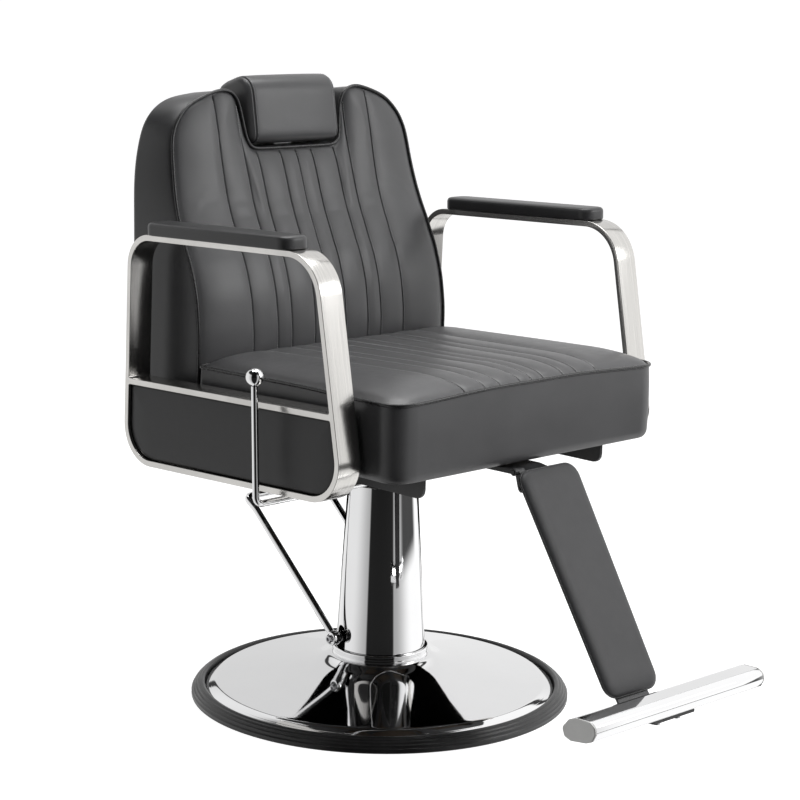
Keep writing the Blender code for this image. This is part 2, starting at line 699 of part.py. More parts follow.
back_profile = [                 # (y, z): up the front face, then down the rear
    (0.1380, 0.4520), (0.1340, 0.5000), (0.1325, 0.5380), (0.1320, 0.5780),
    (0.1345, 0.6080), (0.1390, 0.6380), (0.1465, 0.6650), (0.1550, 0.6880),
    (0.1640, 0.7060), (0.1740, 0.7280), (0.1860, 0.7540), (0.1970, 0.7840),
    (0.2066, 0.8210), (0.2140, 0.8580), (0.2200, 0.8900), (0.2240, 0.9200),
    (0.2250, 0.9440), (0.2330, 0.9480), (0.2480, 0.9450), (0.2640, 0.9345),
    (0.2780, 0.9160), (0.2860, 0.8930), (BACK_REAR_Y, 0.8620),
    (BACK_REAR_Y, 0.4600), (0.2820, 0.4520)]

back_half_outline = [            # (x, z): left half, from the foot up
    (0.2450, 0.4400), (0.2560, 0.4480), (0.2610, 0.4620), (0.2610, 0.5780),
    (0.2590, 0.6600), (0.2580, 0.7200), (0.2560, 0.7540), (0.2536, 0.7840),
    (0.2500, 0.8210), (0.2466, 0.8580), (0.2430, 0.8760), (0.2360, 0.8930),
    (0.2260, 0.9060), (0.2110, 0.9200), (0.1930, 0.9300), (0.1670, 0.9390),
    (0.1480, 0.9435), (0.1390, 0.9440), (0.1280, 0.9425), (0.1170, 0.9370),
    (0.1090, 0.9260), (0.1045, 0.9100), (0.1010, 0.8880), (0.0980, 0.8700),
    (0.0930, 0.8590), (0.0860, 0.8540), (0.0780, 0.8525)]


def post_hole(name, x_gap, y_gap, z0, z1):
    """A hole that clears the headrest post by the two gaps."""
    return box(name, (-POST_HALF - x_gap, POST_Y0 - y_gap, z0),
               (POST_HALF + x_gap, POST_Y1 + y_gap, z1))


back_outline = back_half_outline + [(-x, z) for x, z in reversed(back_half_outline)]
cushion = flat("back_cushion", [back_outline], 0.11, 'Y', (0, 0.21, 0))
boolean(cushion, flat("back_side_profile", [back_profile], 0.40, 'X'), 'INTERSECT')
cut(cushion, box("back_board_recess", (-RECESS_HALF, BACK_BOARD_Y0 - GAP, RECESS_Z0),
                 (RECESS_HALF, 0.30, RECESS_Z1)))
for side, sign in SIDES:
    recess_half = BACK_BRACKET_HALF + 0.001
    cut(cushion, box("back_bracket_recess_" + side,
                     (sign * BACK_BRACKET_X - recess_half, 0.2100, 0.40),
                     (sign * BACK_BRACKET_X + recess_half, 0.30, 0.6060)))
cut(cushion,
    box("headrest_guide_recess",
        (-GUIDE_HALF - GUIDE_GAP, GUIDE_Y0 - GUIDE_GAP, GUIDE_Z0 - GUIDE_GAP),
        (GUIDE_HALF + GUIDE_GAP, 0.30, 0.8306)),
    post_hole("headrest_post_slot", 0.0015, 0.0008, 0.8200, 0.9000))
add(cushion, LEATHER, back_axis)

add(bevel(box("back_board", (-0.2200, BACK_BOARD_Y0, 0.4705),
              (0.2200, BACK_BOARD_Y1, 0.8300)), width=0.002, segments=1),
    WOOD, back_axis)

COVER_HALF = RECESS_HALF - COVER_GAP
add(bevel(box("back_cover", (-COVER_HALF, BACK_BOARD_Y1 + GAP, RECESS_Z0 + COVER_GAP),
              (COVER_HALF, 0.2866, RECESS_Z1 - COVER_GAP)), width=0.004, segments=1),
    LEATHER, back_axis)

back_bracket_corners = (         # (y, z, corner radius)
    (0.1820, HINGE_Z - 0.0170, 0.016), (0.2180, HINGE_Z - 0.0170, 0.016),
    (0.2230, HINGE_Z + 0.0200, 0.010), (0.2612, 0.4640, 0.010),
    (0.2612, 0.6050, 0.004), (0.2400, 0.6050, 0.008),
    (0.2360, 0.4720, 0.020), (0.1870, HINGE_Z + 0.0250, 0.014))
for side, sign in SIDES:
    add(flat("back_bracket_" + side,
             [rounded(back_bracket_corners, 4), circle(HINGE, 0.0083)],
             BACK_BRACKET_HALF, 'X', (sign * BACK_BRACKET_X, 0, 0)),
        BLACK_STEEL, back_axis)

# torque tube with its two welded cranks
TORQUE_R = 0.0080
torque_tube = x_bar("back_torque_tube", TORQUE_R, -RAIL_IN, RAIL_IN, HINGE, 20)
join(torque_tube, x_bar("tube_journals", 0.0060, -0.1965, 0.1965, HINGE, 20))
for link, x, pivot, tip_r in (("tie", TIE_X, TIE_REAR, 0.0055),
                              ("lock", LOCK_X, LOCK_PIVOT, 0.0050)):
    join(torque_tube,
         crank("tube_crank_" + link, x + CRANK_PIN_REACH, x + 0.0095, HINGE, pivot,
               tip_r, TORQUE_R),
         x_bar("tube_crank_" + link + "_pin", CRANK_PIN_R, x - CRANK_PIN_REACH,
               x + 0.0070, pivot, 16))
add(torque_tube, BLACK_STEEL, back_axis)

guide = bevel(box("headrest_guide", (-GUIDE_HALF, GUIDE_Y0, GUIDE_Z0),
                  (GUIDE_HALF, BACK_BOARD_Y0 - 0.0006, 0.8296)),
              width=0.001, segments=1)
cut(guide, post_hole("headrest_guide_bore", 0.0006, 0.0006, 0.68, 0.84))
add(guide, STEEL, back_axis)

# ------------------------------------------------------------------ headrest
add(box("headrest_post", (-POST_HALF, POST_Y0, 0.7000), (POST_HALF, POST_Y1, POST_TOP)),
    STEEL, head_axis)

head_corners = (                 # (y, z, corner radius)
    (0.2050, 0.8590, 0.012), (0.2960, 0.8570, 0.014),
    (0.3045, 0.9480, 0.020), (0.2230, 0.9750, 0.028))
head = flat("headrest_cushion", [rounded(head_corners, 4)], 0.0900, 'X')
bevel(head, width=0.010, segments=2, angle=50)
cut(head, post_hole("headrest_socket", 0.0005, 0.0004, 0.84, POST_TOP + 0.0004))
add(head, LEATHER, head_axis)

# ------------------------------------------------------------------ leg rest hinge
KNUCKLE_R = 0.0070
KNUCKLE_ROOM_R = 0.0085          # cleared around the other piece's knuckles
BARREL_HALF = 0.0170             # the middle knuckle, on the fixed mount
ROOM_X = 0.0173                  # where the middle knuckle's room ends
LEG_PIN_R = 0.0033
LEG_PIN_HALF = 0.0385
LEG_HALF = 0.0330                # half width of the mount and of the moving arm

mount_path = [                   # (y, z), rear to front
    (-0.1280, 0.4026), (-0.1640, 0.4026), (-0.2000, 0.4172),
    (-0.3000, 0.4185), (-0.3160, 0.4160), (-0.3270, 0.4085)]
barrel_web = [(-0.3390, 0.4058), (-0.3220, 0.4130), (-0.3180, 0.4060), (-0.3335, 0.3945)]
leg_mount = flat("legrest_mount", [strip(mount_path, 0.0050)], LEG_HALF, 'X')
join(leg_mount,
     x_bar("mount_barrel", KNUCKLE_R, -BARREL_HALF, BARREL_HALF, LEG_AXIS, 24),
     flat("mount_barrel_web", [barrel_web], BARREL_HALF, 'X'))
for side, sign in SIDES:
    # room for the outer knuckles of the moving arm
    cut(leg_mount, x_bar("mount_knuckle_room_" + side, KNUCKLE_ROOM_R,
                         sign * ROOM_X, sign * 0.0400, LEG_AXIS, 24))
cut(leg_mount, x_bar("mount_pin_bore", LEG_PIN_R + GAP, -0.05, 0.05, LEG_AXIS, 20))
add(leg_mount, BLACK_STEEL, swivel_axis)

add(x_bar("legrest_pin", LEG_PIN_R, -LEG_PIN_HALF, LEG_PIN_HALF, LEG_AXIS, 20),
    STEEL, leg_axis)

# ------------------------------------------------------------------ leg rest
LEG_DOWN = Vector((-0.5251, -0.8510))       # (y, z), down the pad
LEG_BACK = Vector((0.8510, -0.5251))        # towards the back of the pad
PAD_TOP = Vector((-0.3478, 0.4296))         # (y, z), upper edge of its front face
PAD_T = 0.0115
PAD_LEN = 0.3500
PAD_HALF_TOP, PAD_HALF_FOOT = 0.0620, 0.0555
PAD_CORNER = 0.022
LEG_ARM_T = 0.0040
LEG_ARM_FACE = PAD_T + GAP       # depth of the arm's front face


def leg_point(along, depth):
    """(y, z) of a point so far down the pad and behind its front face."""
    return tuple(PAD_TOP + LEG_DOWN * along + LEG_BACK * depth)


arm_depth = LEG_ARM_FACE + LEG_ARM_T / 2
leg_arm_path = [leg_point(0.012, arm_depth), leg_point(0.030, arm_depth),
                leg_point(0.3520, arm_depth), (-0.5262, 0.1152), (-0.5321, 0.1121)]
knuckle_web = [leg_point(0.0280, LEG_ARM_FACE + 0.0002),
               leg_point(0.0125, LEG_ARM_FACE + 0.0002),
               leg_point(0.0132, 0.0240), leg_point(0.0258, 0.0240)]
leg_arm = flat("legrest_arm", [strip(leg_arm_path, LEG_ARM_T)], LEG_HALF, 'X')
for side, sign in SIDES:
    join(leg_arm,
         x_bar("arm_knuckle_" + side, KNUCKLE_R, sign * 0.0176, sign * 0.0350,
               LEG_AXIS, 24),
         flat("arm_knuckle_web_" + side, [knuckle_web], 0.0086, 'X',
              (sign * 0.0262, 0, 0)))
cut(leg_arm, x_bar("arm_barrel_room", KNUCKLE_ROOM_R, -ROOM_X, ROOM_X, LEG_AXIS, 24))
join(leg_arm,
     crank("arm_crank", TIE_X + CRANK_PIN_REACH, TIE_X + 0.0164, LEG_AXIS, TIE_FRONT,
           0.0045, KNUCKLE_R),
     x_bar("arm_crank_pin", CRANK_PIN_R, TIE_X - CRANK_PIN_REACH, TIE_X + 0.0080,
           TIE_FRONT, 16))
cut(leg_arm, x_bar("arm_pin_bore", LEG_PIN_R + GAP, -0.06, 0.06, LEG_AXIS, 20))
add(leg_arm, BLACK_STEEL, leg_axis)

leg_pad_corners = ((-PAD_HALF_TOP, 0.0, PAD_CORNER), (PAD_HALF_TOP, 0.0, PAD_CORNER),
                   (PAD_HALF_FOOT, -PAD_LEN, PAD_CORNER),
                   (-PAD_HALF_FOOT, -PAD_LEN, PAD_CORNER))
leg_pad = flat("legrest_pad", [rounded(leg_pad_corners, 5)], PAD_T / 2, 'Z',
               (0, *leg_point(0, PAD_T / 2)))
bevel(leg_pad, width=0.0040, segments=2, angle=50)
# local -Y runs down the pad, local +Z faces the sitter's calves
leg_pad.rotation_euler = (math.atan2(LEG_DOWN.y, LEG_DOWN.x) + math.pi, 0, 0)
add(leg_pad, LEATHER, leg_axis)

# ------------------------------------------------------------------ footbar
BAR_HALF = 0.1830
BAR_WALL = 0.0020
CAP_HALF = 0.0013                # half the thickness of an end cap
SCREW_X, SCREW_Y = 0.0220, -0.5850
SCREW_HOLE_R = 0.0034

bar_corners = (                  # (y, z, corner radius)
    (-0.5540, 0.1265, 0.007), (-0.5655, 0.1400, 0.007), (-0.5780, 0.1448, 0.004),
    (-0.6030, 0.1455, 0.004), (-0.6125, 0.1400, 0.006), (-0.6150, 0.1300, 0.006),
    (-0.6090, 0.1185, 0.006), (-0.5980, 0.1140, 0.006), (-0.5700, 0.1105, 0.006),
    (-0.5585, 0.1145, 0.006))
foot_bracket_outline = [         # (y, z)
    (-0.5335, 0.1140), (-0.5335, 0.1092), (-0.5600, 0.1045), (-0.6000, 0.1090),
    (-0.6000, 0.1136), (-0.5690, 0.1099), (-0.5560, 0.1099)]
foot_screw_profile = [           # (radius, z): shank above, head below
    (0.0, 0.0200), (0.0030, 0.0200), (0.0030, 0.0), (0.0060, 0.0),
    (0.0060, -0.0045), (0.0, -0.0045)]


def cut_screw_holes(obj, prefix, z0):
    for side, sign in SIDES:
        cut(obj, z_bar(prefix + side, SCREW_HOLE_R, (sign * SCREW_X, SCREW_Y),
                       z0, 0.125, 16))


bar_outline = rounded(bar_corners, 3)
footbar = flat("footbar", [bar_outline, rounded(inset(bar_corners, BAR_WALL), 3)],
               BAR_HALF, 'X')
cut_screw_holes(footbar, "bar_screw_hole_", 0.100)
add(footbar, CHROME, leg_axis)

foot_bracket = flat("footbar_bracket", [foot_bracket_outline], 0.0440, 'X')
cut_screw_holes(foot_bracket, "bracket_screw_hole_", 0.090)
add(foot_bracket, BLACK_STEEL, leg_axis)

for side, sign in SIDES:
    add(flat("footbar_cap_" + side, [bar_outline], CAP_HALF, 'X',
             (sign * (BAR_HALF + CAP_HALF + GAP), 0, 0)), GREY_CAP, leg_axis)
    screw = turned("footbar_screw_" + side, foot_screw_profile, 12)
    screw.location = (sign * SCREW_X, SCREW_Y, 0.1062)
    add(screw, STEEL, leg_axis)

# ------------------------------------------------------------------ tie rod
TIE_HALF_X = 0.0035
TIE_HALF_Z = 0.0032
TIE_EYE_R = 0.0056

tie_run = (TIE_REAR[0] - TIE_FRONT[0], TIE_REAR[1] - TIE_FRONT[1])
tie_half = math.hypot(*tie_run) / 2
tie = box("tie_rod", (-TIE_HALF_X, -tie_half, -TIE_HALF_Z),
          (TIE_HALF_X, tie_half, TIE_HALF_Z))
for end, sign in (("front", -1), ("rear", 1)):
    join(tie, x_bar("tie_eye_" + end, TIE_EYE_R, -TIE_HALF_X, TIE_HALF_X,
                    (sign * tie_half, 0), 20))
for end, sign, bore_r in (("front", -1, 0.0036), ("rear", 1, 0.0031)):
    cut(tie, x_bar("tie_bore_" + end, bore_r, -0.02, 0.02, (sign * tie_half, 0), 20))

# the rod and its cutters were made level at the origin; move them together
tie_place = (Matrix.Translation((TIE_X, (TIE_REAR[0] + TIE_FRONT[0]) / 2,
                                 (TIE_REAR[1] + TIE_FRONT[1]) / 2))
             @ Matrix.Rotation(math.atan2(tie_run[1], tie_run[0]), 4, 'X'))
for obj in [tie] + [mod.object for mod in tie.modifiers]:
    obj.matrix_world = tie_place @ obj.matrix_basis
add(tie, BLACK_STEEL, tie_axis)

# ------------------------------------------------------------------ gas spring
# lockable, between the seat frame and the torque tube
LOCK_Z = LOCK_PIVOT[1] + 0.0005
LOCK_FRONT, LOCK_REAR = -0.0880, 0.0600
LOCK_FOOT_HALF = 0.0060
LOCK_EYE_HALF = 0.0035
BLADE_T = 0.0050                 # lever blade that faces the release pin


def lock_bar(name, radius, y0, y1, segments):
    """A round bar along the axis of the gas spring."""
    return cylinder(name, radius, (LOCK_X, y0, LOCK_Z), (LOCK_X, y1, LOCK_Z), segments)


lock = lock_bar("lock_cylinder", 0.0080, LOCK_FRONT, LOCK_REAR, 20)
join(lock, box("lock_foot", (LOCK_X - LOCK_FOOT_HALF, -0.0850, 0.4001),
               (LOCK_X + LOCK_FOOT_HALF, -0.0620, LOCK_Z - 0.0040)))
cut(lock, lock_bar("lock_bore", 0.0040, -0.0600, 0.0700, 16),
    lock_bar("lock_pin_bore", 0.0029, -0.0950, -0.0670, 16))
add(lock, BLACK_STEEL, swivel_axis)

lock_eye = (LOCK_PIVOT[0], LOCK_Z)
lock_rod = lock_bar("lock_rod", 0.0036, -0.0300, LOCK_PIVOT[0] - 0.0030, 16)
join(lock_rod, x_bar("lock_eye", 0.0068, LOCK_X - LOCK_EYE_HALF,
                     LOCK_X + LOCK_EYE_HALF, lock_eye, 20))
cut(lock_rod, x_bar("lock_eye_bore", 0.0050, LOCK_X - 0.02, LOCK_X + 0.02, lock_eye, 20))
add(lock_rod, CHROME, lock_axis)

add(lock_bar("release_pin", 0.0025, LEVER_Y + BLADE_T / 2 + 0.0004, -0.0800, 12),
    STEEL, pin_axis)

# ------------------------------------------------------------------ recline lever
HANDLE_X = -0.360
HANDLE_R = 0.0050
LEVER_END_X = 0.1970
KNOB_Y = -0.1110
KNOB_Z = 0.5670
KNOB_R = 0.0128

recline_path = arc_path(((HANDLE_X, KNOB_Y, KNOB_Z - KNOB_R - GAP),
                         (HANDLE_X, *LEVER_AXIS), (LEVER_END_X, *LEVER_AXIS)),
                        (0.0120,), 5)
lever = curve_to_mesh("recline_lever",
                      tube_curve("recline_lever", recline_path, HANDLE_R), 40)
join(lever, crank("lever_blade", LOCK_X - 0.0040, LOCK_X + 0.0040, LEVER_AXIS,
                  (LEVER_Y, LOCK_Z + 0.0010), BLADE_T / 2, 0.0070))
add(lever, CHROME, lever_axis)

knob_mesh = bmesh.new()
bmesh.ops.create_uvsphere(knob_mesh, u_segments=16, v_segments=8, radius=KNOB_R)
knob = mesh_obj("lever_knob", knob_mesh)
smooth(knob, 60)
knob.location = (HANDLE_X, KNOB_Y, KNOB_Z)
add(knob, CHROME, lever_axis)
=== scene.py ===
"""Looks of a hydraulic barber chair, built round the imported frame.

Metres. The chair faces -Y, +Z is up and the sitter's left is +X. The column stands on
the origin and the floor is z = 0.
"""
import json
import math

import bmesh
import bpy
import numpy as np
from mathutils import Matrix, Vector


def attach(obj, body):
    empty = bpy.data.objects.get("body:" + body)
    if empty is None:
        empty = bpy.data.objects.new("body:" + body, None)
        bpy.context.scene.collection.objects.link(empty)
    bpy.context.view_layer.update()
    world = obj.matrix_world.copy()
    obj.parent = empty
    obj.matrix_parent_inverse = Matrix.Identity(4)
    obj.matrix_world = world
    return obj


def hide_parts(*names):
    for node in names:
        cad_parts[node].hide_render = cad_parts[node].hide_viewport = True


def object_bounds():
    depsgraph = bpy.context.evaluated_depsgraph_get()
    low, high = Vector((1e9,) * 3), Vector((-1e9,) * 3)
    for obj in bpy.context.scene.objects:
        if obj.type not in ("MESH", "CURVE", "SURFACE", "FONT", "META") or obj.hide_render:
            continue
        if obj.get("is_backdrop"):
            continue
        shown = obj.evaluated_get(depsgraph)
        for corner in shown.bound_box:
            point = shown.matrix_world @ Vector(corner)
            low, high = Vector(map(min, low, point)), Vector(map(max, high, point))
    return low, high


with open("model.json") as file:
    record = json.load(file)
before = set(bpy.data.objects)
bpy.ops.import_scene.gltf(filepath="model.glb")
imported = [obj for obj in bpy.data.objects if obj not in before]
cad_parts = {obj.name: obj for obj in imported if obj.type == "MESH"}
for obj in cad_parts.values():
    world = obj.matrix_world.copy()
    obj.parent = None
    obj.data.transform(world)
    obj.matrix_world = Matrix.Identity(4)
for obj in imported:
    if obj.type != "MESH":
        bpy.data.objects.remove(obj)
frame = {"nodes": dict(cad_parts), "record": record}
nodes = frame["nodes"]
low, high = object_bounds()
CAD_BOX = [list(low), list(high)]
scene = bpy.context.scene

SIDES = (("right", -1), ("left", 1))      # the sitter's sides and their sign in X
CAMERA_AT = (-2.43605, -2.54529, 1.15379)
CAMERA_AZIMUTH = math.degrees(math.atan2(CAMERA_AT[1], CAMERA_AT[0]))


# ================================================================ shader graphs
def rgba(value):
    """A grey level or a colour as RGBA; an output socket is left as it is."""
    if isinstance(value, (int, float)):
        value = (value, value, value)
    return (*value, 1) if isinstance(value, tuple) else value


class Graph:
    """Short calls on a node tree. Values are numbers, tuples or output sockets."""

    def __init__(self, tree):
        self.tree = tree

    def feed(self, socket, value):
        if isinstance(value, (int, float, tuple)):
            socket.default_value = value
        else:
            self.tree.links.new(value, socket)

    def fill(self, node, **values):
        """Capitalised names are inputs, with _ for a space; the others are properties."""
        for name, value in values.items():
            if name[0].isupper():
                self.feed(node.inputs[name.replace("_", " ")], value)
            else:
                setattr(node, name, value)
        return node

    def node(self, kind, **values):
        return self.fill(self.tree.nodes.new("ShaderNode" + kind), **values)

    def math(self, operation, *values):
        node = self.node("Math", operation=operation)
        for socket, value in zip(node.inputs, values):
            self.feed(socket, value)
        return node.outputs[0]

    def total(self, *terms, base=None):
        """Base plus each (value, weight) product, in turn."""
        for value, weight in terms:
            if base is None:
                base = self.math("MULTIPLY", value, weight)
            else:
                base = self.math("MULTIPLY_ADD", value, weight, base)
        return base

    def mix(self, factor, first, second):
        node = self.node("Mix", data_type="RGBA")
        self.feed(node.inputs[0], factor)
        self.feed(node.inputs[6], rgba(first))
        self.feed(node.inputs[7], rgba(second))
        return node.outputs[2]

    def remap(self, value, start, end, low=0.0, high=1.0, curve="LINEAR"):
        """Value taken from start..end to low..high."""
        node = self.node("MapRange", interpolation_type=curve, From_Min=start, From_Max=end,
                         To_Min=low, To_Max=high, Value=value)
        return node.outputs["Result"]

    def step(self, value, edge, soft, rising=True):
        low, high = (0.0, 1.0) if rising else (1.0, 0.0)
        return self.remap(value, edge - soft / 2, edge + soft / 2, low, high, "SMOOTHSTEP")

    def band(self, value, start, end, soft):
        """1 between start and end, with soft edges."""
        return self.math("MULTIPLY", self.step(value, start, soft),
                         self.step(value, end, soft, rising=False))

    def degrees(self, operation, *values):
        return self.math("MULTIPLY", self.math(operation, *values), 180 / math.pi)


class Material(Graph):
    """A new material and its principled shader."""

    def __init__(self, name):
        self.material = bpy.data.materials.new(name)
        self.material.use_nodes = True
        super().__init__(self.material.node_tree)
        self.shader = self.tree.nodes["Principled BSDF"]

    def set(self, **inputs):
        self.fill(self.shader, **inputs)

    def use_object_space(self):
        self.place = self.node("TexCoord").outputs["Object"]

    def noise(self, scale, detail=2.0, rough=0.5, stretch=None):
        place = self.place
        if stretch:
            place = self.node("Mapping", Scale=stretch, Vector=place).outputs["Vector"]
        return self.node("TexNoise", Scale=scale, Detail=detail, Roughness=rough,
                         Vector=place).outputs["Fac"]


class Finish(Material):
    """A surface whose colour, roughness and relief vary round nominal values."""

    def __init__(self, name, rgb, roughness, metallic=0.0):
        super().__init__(name)
        self.rgb = rgb
        self.roughness = roughness
        self.set(Base_Color=(*rgb, 1), Roughness=roughness, Metallic=metallic)
        self.material.diffuse_color = (*rgb, 1)
        self.use_object_space()

    def voronoi(self, scale, feature="F1"):
        return self.node("TexVoronoi", feature=feature, Scale=scale,
                         Vector=self.place).outputs["Distance"]

    def tint(self, factor, low, high):
        """Colour between two multiples of the nominal one."""
        self.set(Base_Color=self.mix(factor, shade(self.rgb, low), shade(self.rgb, high)))

    def dull(self, *terms, drop):
        """Roughness: the nominal less drop, plus weighted patterns."""
        self.set(Roughness=self.total(*terms, base=self.roughness - drop))

    def bump(self, height, strength, distance):
        node = self.node("Bump", Strength=strength, Distance=distance, Height=height)
        self.set(Normal=node.outputs["Normal"])


def shade(rgb, factor):
    return tuple(min(1.0, value * factor) for value in rgb)


# ================================================================ materials
BLACK = (0.036, 0.036, 0.0372)


def leather(name, painted_light_factor, roughness, grain=1.0, specular=0.5):
    """Black upholstery leather: pebble grain, fine creases, uneven sheen."""
    # the factor lightens or darkens the one black leather per part, as painted light and shade
    hide = Finish(name, shade(BLACK, painted_light_factor), roughness)
    pebble = hide.voronoi(scale=950.0, feature="SMOOTH_F1")
    crease = hide.voronoi(scale=420.0, feature="DISTANCE_TO_EDGE")
    crease = hide.math("MINIMUM", crease, 0.12)
    fine = hide.noise(scale=2600.0)
    soft = hide.noise(scale=55.0, detail=3.0)
    relief = hide.total((pebble, -0.75), (crease, 2.2), (fine, 0.35), (soft, 1.3))
    hide.bump(relief, strength=0.30 * grain, distance=0.00035)
    tone = hide.noise(scale=16.0, detail=4.0, rough=0.6)
    wear = hide.noise(scale=3.1)
    cloud = hide.total((tone, 0.5), (wear, 0.5))
    hide.tint(hide.remap(cloud, start=0.3, end=0.7), low=0.86, high=1.16)
    hide.dull((hide.noise(scale=85.0, detail=3.0), 0.14), (tone, 0.08), drop=0.10)
    hide.set(Specular_IOR_Level=specular)
    return hide.material


def chrome(name, rgb=(0.86, 0.86, 0.865), roughness=0.035):
    """Bright plate: nearly a mirror, with faint haze and wiping marks."""
    plate = Finish(name, rgb, roughness, metallic=1.0)
    haze = plate.noise(scale=9.0, detail=4.0, rough=0.65)
    marks = plate.noise(scale=60.0, stretch=(1, 1, 12))
    plate.dull((marks, 0.015), (haze, 0.03), drop=0.022)
    plate.tint(haze, low=0.96, high=1.03)
    plate.bump(plate.noise(scale=28.0), strength=0.02, distance=0.0004)
    return plate.material


def brushed_stainless(name):
    """Flat bar with fine lines that are constant across Y and Z."""
    bar = Finish(name, rgb=(0.655, 0.642, 0.620), roughness=0.19, metallic=1.0)
    lines = bar.noise(scale=1.0, detail=3.0, rough=0.7, stretch=(2600, 9, 9))
    broad = bar.noise(scale=1.0, stretch=(420, 5, 5))
    cloud = bar.noise(scale=22.0, detail=3.0)
    streak = bar.total((broad, 0.4), (lines, 0.6))
    bar.tint(bar.remap(streak, start=0.3, end=0.7), low=0.84, high=1.12)
    bar.dull((lines, 0.10), (cloud, 0.05), drop=0.07)
    bar.bump(lines, strength=0.10, distance=0.00012)
    return bar.material


def powder_coat(name):
    """Black coated steel: orange peel and scuffs."""
    coat = Finish(name, rgb=(0.018, 0.018, 0.019), roughness=0.42)
    coat.bump(coat.noise(scale=700.0), strength=0.25, distance=0.0003)
    wear = coat.noise(scale=35.0, detail=5.0, rough=0.7)
    coat.tint(coat.remap(wear, start=0.45, end=0.8), low=1.0, high=2.2)
    coat.dull((wear, 0.22), drop=0.12)
    return coat.material


def plain_steel(name):
    """Bare steel with fine turning marks stacked in Z."""
    metal = Finish(name, rgb=(0.52, 0.52, 0.53), roughness=0.32, metallic=1.0)
    turning = metal.noise(scale=1.0, stretch=(60, 60, 1400))
    metal.dull((turning, 0.18), drop=0.08)
    metal.tint(metal.noise(scale=40.0, detail=3.0), low=0.85, high=1.1)
    metal.bump(turning, strength=0.08, distance=0.0001)
    return metal.material


def cast_iron(name):
    """Dark, grainy casting."""
    iron = Finish(name, rgb=(0.055, 0.055, 0.058), roughness=0.62, metallic=0.6)
    grain = iron.noise(scale=320.0, detail=5.0, rough=0.7)
    iron.bump(grain, strength=0.5, distance=0.0008)
    iron.tint(iron.noise(scale=26.0, detail=4.0), low=0.7, high=1.5)
    iron.dull((grain, 0.2), drop=0.12)
    return iron.material


def rubber(name):
    """Moulded rubber: dull skin with dusty patches."""
    skin = Finish(name, rgb=(0.012, 0.012, 0.0123), roughness=0.46)
    relief = skin.noise(scale=900.0, detail=3.0)
    dust = skin.noise(scale=30.0, detail=5.0, rough=0.7)
    skin.bump(relief, strength=0.22, distance=0.0004)
    skin.tint(skin.remap(dust, start=0.4, end=0.75), low=1.0, high=2.0)
    skin.dull((dust, 0.16), drop=0.22)
    return skin.material


def plastic(name, rgb, roughness, texture, metallic=0.0):
    """Moulded plastic with a spark-eroded texture of the given scale."""
    mould = Finish(name, rgb, roughness, metallic)
    grain = mould.noise(scale=texture, detail=3.0)
    cells = mould.voronoi(scale=texture * 1.9)
    mould.bump(mould.total((cells, -0.4), base=grain), strength=0.18, distance=0.0003)
    tone = mould.noise(scale=20.0, detail=3.0)
    mould.tint(tone, low=0.85, high=1.18)
    mould.dull((tone, 0.12), drop=0.06)
    return mould.material


def plywood(name):
    """Board with its grain along X, darkened as painted shade for the shaded underside of the
    seat.
    """
    board = Finish(name, rgb=(0.20, 0.13, 0.08), roughness=0.62)
    grain = board.noise(scale=1.0, detail=5.0, rough=0.6, stretch=(14, 260, 260))
    # both grain tones are darkened as painted shade, not the board's own colour
    dark, light = (0.050, 0.034, 0.022), (0.095, 0.068, 0.045)
    board.set(Base_Color=board.mix(grain, dark, light))
    board.bump(grain, strength=0.2, distance=0.0004)
    return board.material


def sewing_thread(name):
    """Mottled grey thread."""
    fibre = Finish(name, rgb=(0.30, 0.30, 0.305), roughness=0.5)
    fibre.bump(fibre.noise(scale=5200.0, detail=1.0), strength=0.3, distance=0.0002)
    fibre.tint(fibre.noise(scale=140.0), low=0.7, high=1.35)
    return fibre.material


# One black leatherette in lit and shaded copies: the seat and headrest copies are lightened as
# painted light, the arm panel, leg rest and piping copies darkened as painted shade.
SEAT_LEATHER = leather("leather_seat", painted_light_factor=1.30, roughness=0.36, specular=0.62)
BACK_LEATHER = leather("leather_back", painted_light_factor=1.04, roughness=0.33)
HEAD_LEATHER = leather("leather_headrest", painted_light_factor=1.12, roughness=0.33)
PANEL_LEATHER = leather("leather_arm_panel", painted_light_factor=0.62, roughness=0.35, specular=0.36)
LEG_LEATHER = leather("leather_leg_rest", painted_light_factor=0.84, roughness=0.46, grain=0.7,
                      specular=0.36)
PIPING = leather("leather_piping", painted_light_factor=0.45, roughness=0.26, grain=0.3)
THREAD = sewing_thread("thread_grey")
CHROME = chrome("chrome_plate")
DOME_CHROME = chrome("chrome_dome", rgb=(0.83, 0.83, 0.835), roughness=0.045)
STAINLESS = brushed_stainless("stainless_brushed")
POWDER = powder_coat("black_powder_coat")
STEEL = plain_steel("steel_plain")
IRON = cast_iron("iron_cast")
RUBBER = rubber("rubber_ring")
PAD_PLASTIC = plastic("plastic_arm_pad", rgb=(0.027, 0.027, 0.028), roughness=0.36,
                      texture=520.0)
BUSH_PLASTIC = plastic("plastic_bush", rgb=(0.02, 0.02, 0.02), roughness=0.5, texture=300.0)
CAP_PLASTIC = plastic("plastic_cap", rgb=(0.52, 0.52, 0.51), roughness=0.42, texture=420.0,
                      metallic=0.55)
WOOD = plywood("plywood_board")

SLOT_LOOK = {"chrome": CHROME, "stainless": STAINLESS, "black_steel": POWDER,
             "steel": STEEL, "cast": IRON, "rubber": RUBBER,
             "leatherette": SEAT_LEATHER, "plastic": PAD_PLASTIC, "cap": CAP_PLASTIC,
             "plywood": WOOD}
for part in frame["record"]["subparts"]:
    materials = nodes[part["node"]].data.materials
    materials.clear()
    materials.append(SLOT_LOOK[part["material_slot"]])
nodes["column_bush"].data.materials[0] = BUSH_PLASTIC


# ================================================================ meshes
def face_outward(mesh, merge=None):
    """Turns the normals outward, first merging vertices closer than merge."""
    work = bmesh.new()
    work.from_mesh(mesh)
    if merge:
        bmesh.ops.remove_doubles(work, verts=work.verts, dist=merge)
    bmesh.ops.recalc_face_normals(work, faces=work.faces)
    work.to_mesh(mesh)
    work.free()


